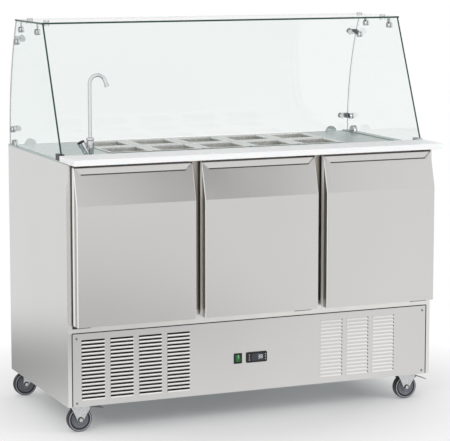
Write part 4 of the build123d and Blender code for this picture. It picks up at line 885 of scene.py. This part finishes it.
valve_way = np.array((-math.sin(VALVE_TILT), 0, math.cos(VALVE_TILT)))
valve_foot = np.array((TAP_X - VALVE_IN, TAP_Y, TOP_Z + VALVE_H))
cap_profile = [(0, 45.6), (12.4, 45.6), (13, 46.2), (13, 48.2), (12.2, 49.4), (9, 50), (0, 50.2)]
piece("tap_knob_cap", [turned(cap_profile, valve_foot, valve_way)], black_plastic, "tap_knob")
collar_profile = [(6.1, 8), (10.4, 8), (11.2, 8.8), (11.2, 12.6), (10.4, 13.4), (6.1, 13.4), (6.1, 8)]
piece("tap_valve_collar", [turned(collar_profile, valve_foot, valve_way)], chrome_plate, "cabinet")
nut_profile = [(6.15, 55), (12.5, 55), (13.2, 56), (13.2, 61), (11.5, 63.5), (8.2, 65), (6.15, 65),
               (6.15, 55)]
piece("tap_spout_nut", [turned(nut_profile, (TAP_X, TAP_Y, TOP_Z), (0, 0, 1))], chrome_plate,
      "cabinet")
spout_way = np.array((math.sin(SPOUT_BEND), 0, math.cos(SPOUT_BEND)))
bend_end = np.array((TAP_X + SPOUT_BEND_R * (1 - math.cos(SPOUT_BEND)), TAP_Y,
                     TOP_Z + SPOUT_STRAIGHT_H + SPOUT_BEND_R * math.sin(SPOUT_BEND)))
outlet = bend_end + SPOUT_TAIL * spout_way
aerator_profile = [(4.5, 0.6), (7, 0.6), (7.6, 0), (7.6, -8), (7, -8.6), (5.9, -8.6), (4.5, -8.6),
                   (4.5, 0.6)]
piece("tap_aerator", [turned(aerator_profile, outlet, spout_way)], chrome_plate, "tap_spout")


# ---- Camera, light and floor ----

def camera():
    """The camera, solved from the body's corners in the photograph."""
    data = bpy.data.cameras.new("camera")
    data.sensor_width = SENSOR_MM
    data.lens = FOCAL_PX * SENSOR_MM / PHOTO_W
    data.shift_y = -CAMERA_SHIFT_UP_PX / PHOTO_W
    data.clip_end = 100
    made = bpy.data.objects.new("camera", data)
    made.location = CAMERA_PLACE
    made.rotation_euler = (math.radians(90 - CAMERA_DOWN), 0, math.radians(-CAMERA_RIGHT))
    bpy.context.scene.collection.objects.link(made)
    bpy.context.scene.camera = made


def world():
    """White behind the object and in what shines; a dimmer studio light for what is matt."""
    made = bpy.data.worlds.new("studio")
    made.use_nodes = True
    tree = made.node_tree
    path = add(tree, "ShaderNodeLightPath").outputs
    seen = maths(tree, "MAXIMUM", path["Is Camera Ray"], path["Is Glossy Ray"])
    seen = maths(tree, "MAXIMUM", seen, path["Is Transmission Ray"])
    level = add(tree, "ShaderNodeMapRange", {
        "Value": seen, "To Min": 0.7, "To Max": 1.0}).outputs["Result"]
    background = tree.nodes["Background"]
    background.inputs["Color"].default_value = (1, 1, 1, 1)
    tree.links.new(level, background.inputs["Strength"])
    bpy.context.scene.world = made


def lamp(name, place, target, size, power):
    """A soft box at a place, facing a target; the steel doesn't mirror it."""
    data = bpy.data.lights.new(name, "AREA")
    data.shape = "RECTANGLE"
    data.size, data.size_y = size
    data.energy = power
    made = bpy.data.objects.new(name, data)
    made.location = place
    made.visible_glossy = False
    way = Vector(target) - Vector(place)
    made.rotation_euler = way.to_track_quat("-Z", "Y").to_euler()
    bpy.context.scene.collection.objects.link(made)


def card(name, place, target, size, level):
    """A plain grey studio card that only reflections see, facing a target."""
    across, up = size[0] / 2, size[1] / 2
    mesh = bpy.data.meshes.new(name)
    way = Vector(target) - Vector(place)
    turn = way.to_track_quat("-Z", "Y")
    corners = [Vector(place) + turn @ Vector((sx * across, sy * up, 0))
               for sx, sy in ((-1, -1), (1, -1), (1, 1), (-1, 1))]
    mesh.from_pydata(corners, [], [(0, 1, 2, 3)])
    made = bpy.data.objects.new(name, mesh)
    bpy.context.scene.collection.objects.link(made)
    material = bpy.data.materials.new(name)
    material.use_nodes = True
    tree = material.node_tree
    grey = add(tree, "ShaderNodeEmission", {"Strength": level})
    tree.links.new(grey.outputs[0], tree.nodes["Material Output"].inputs["Surface"])
    mesh.materials.append(material)
    for ray in ("camera", "diffuse", "transmission", "volume_scatter", "shadow"):
        setattr(made, f"visible_{ray}", False)


def dull_patch(tree, place, centre, radius, level):
    """A soft round patch of the floor that reflects dully: level in its middle, 1 outside."""
    away = add(tree, "ShaderNodeVectorMath", {0: place, 1: (*centre, 0)}, operation="DISTANCE")
    return add(tree, "ShaderNodeMapRange", {
        "Value": away.outputs["Value"], "From Max": radius, "To Min": level},
        interpolation_type="SMOOTHSTEP").outputs["Result"]


def floor():
    """Pale floor just under the wheels: white to the camera far away, with the shadow near them.

    Reflections see it white as well, but for soft dull patches, which shade the steel.
    """
    mesh = bpy.data.meshes.new("floor")
    half = 30
    z = -0.0006
    mesh.from_pydata([(-half, -half, z), (half, -half, z), (half, half, z), (-half, half, z)],
                     [], [(0, 1, 2, 3)])
    made = bpy.data.objects.new("floor", mesh)
    bpy.context.scene.collection.objects.link(made)
    material, tree, shader, place = begin("pale_floor", "#fafafa", 0.9)
    path = add(tree, "ShaderNodeLightPath").outputs
    far = add(tree, "ShaderNodeVectorMath", {0: place}, operation="LENGTH").outputs["Value"]
    far = vary(tree, far, 0.0, 1.0, 0.5, 1.3)
    white = add(tree, "ShaderNodeEmission", {"Strength": 1.0})
    seen = all_of(tree, path["Is Camera Ray"], far)
    mixed = add(tree, "ShaderNodeMixShader", {0: seen, 1: shader.outputs[0], 2: white.outputs[0]})
    level = all_of(tree, dull_patch(tree, place, (-0.6, 0.9), 1.3, 0.42),
                   dull_patch(tree, place, (-0.15, -2.1), 1.4, 0.45),
                   dull_patch(tree, place, (1.7, -5.0), 1.6, 0.7))
    shine = add(tree, "ShaderNodeEmission", {"Strength": level})
    mixed = add(tree, "ShaderNodeMixShader", {
        0: path["Is Glossy Ray"], 1: mixed.outputs[0], 2: shine.outputs[0]})
    tree.links.new(mixed.outputs[0], tree.nodes["Material Output"].inputs["Surface"])
    mesh.materials.append(material)


camera()
world()
lamp("key", (-3.2, -3.6, 3.2), (0, 0, 0.7), (2.4, 2.4), 60)
lamp("fill", (3.6, -3.2, 2.2), (0, 0, 0.6), (2.0, 2.4), 40)
card("slope_card", (1.9, -5.2, 3.0), (-0.2, -0.3, 0.85), (0.95, 1.8), 0.22)
floor()
bpy.context.scene.view_settings.view_transform = "Standard"
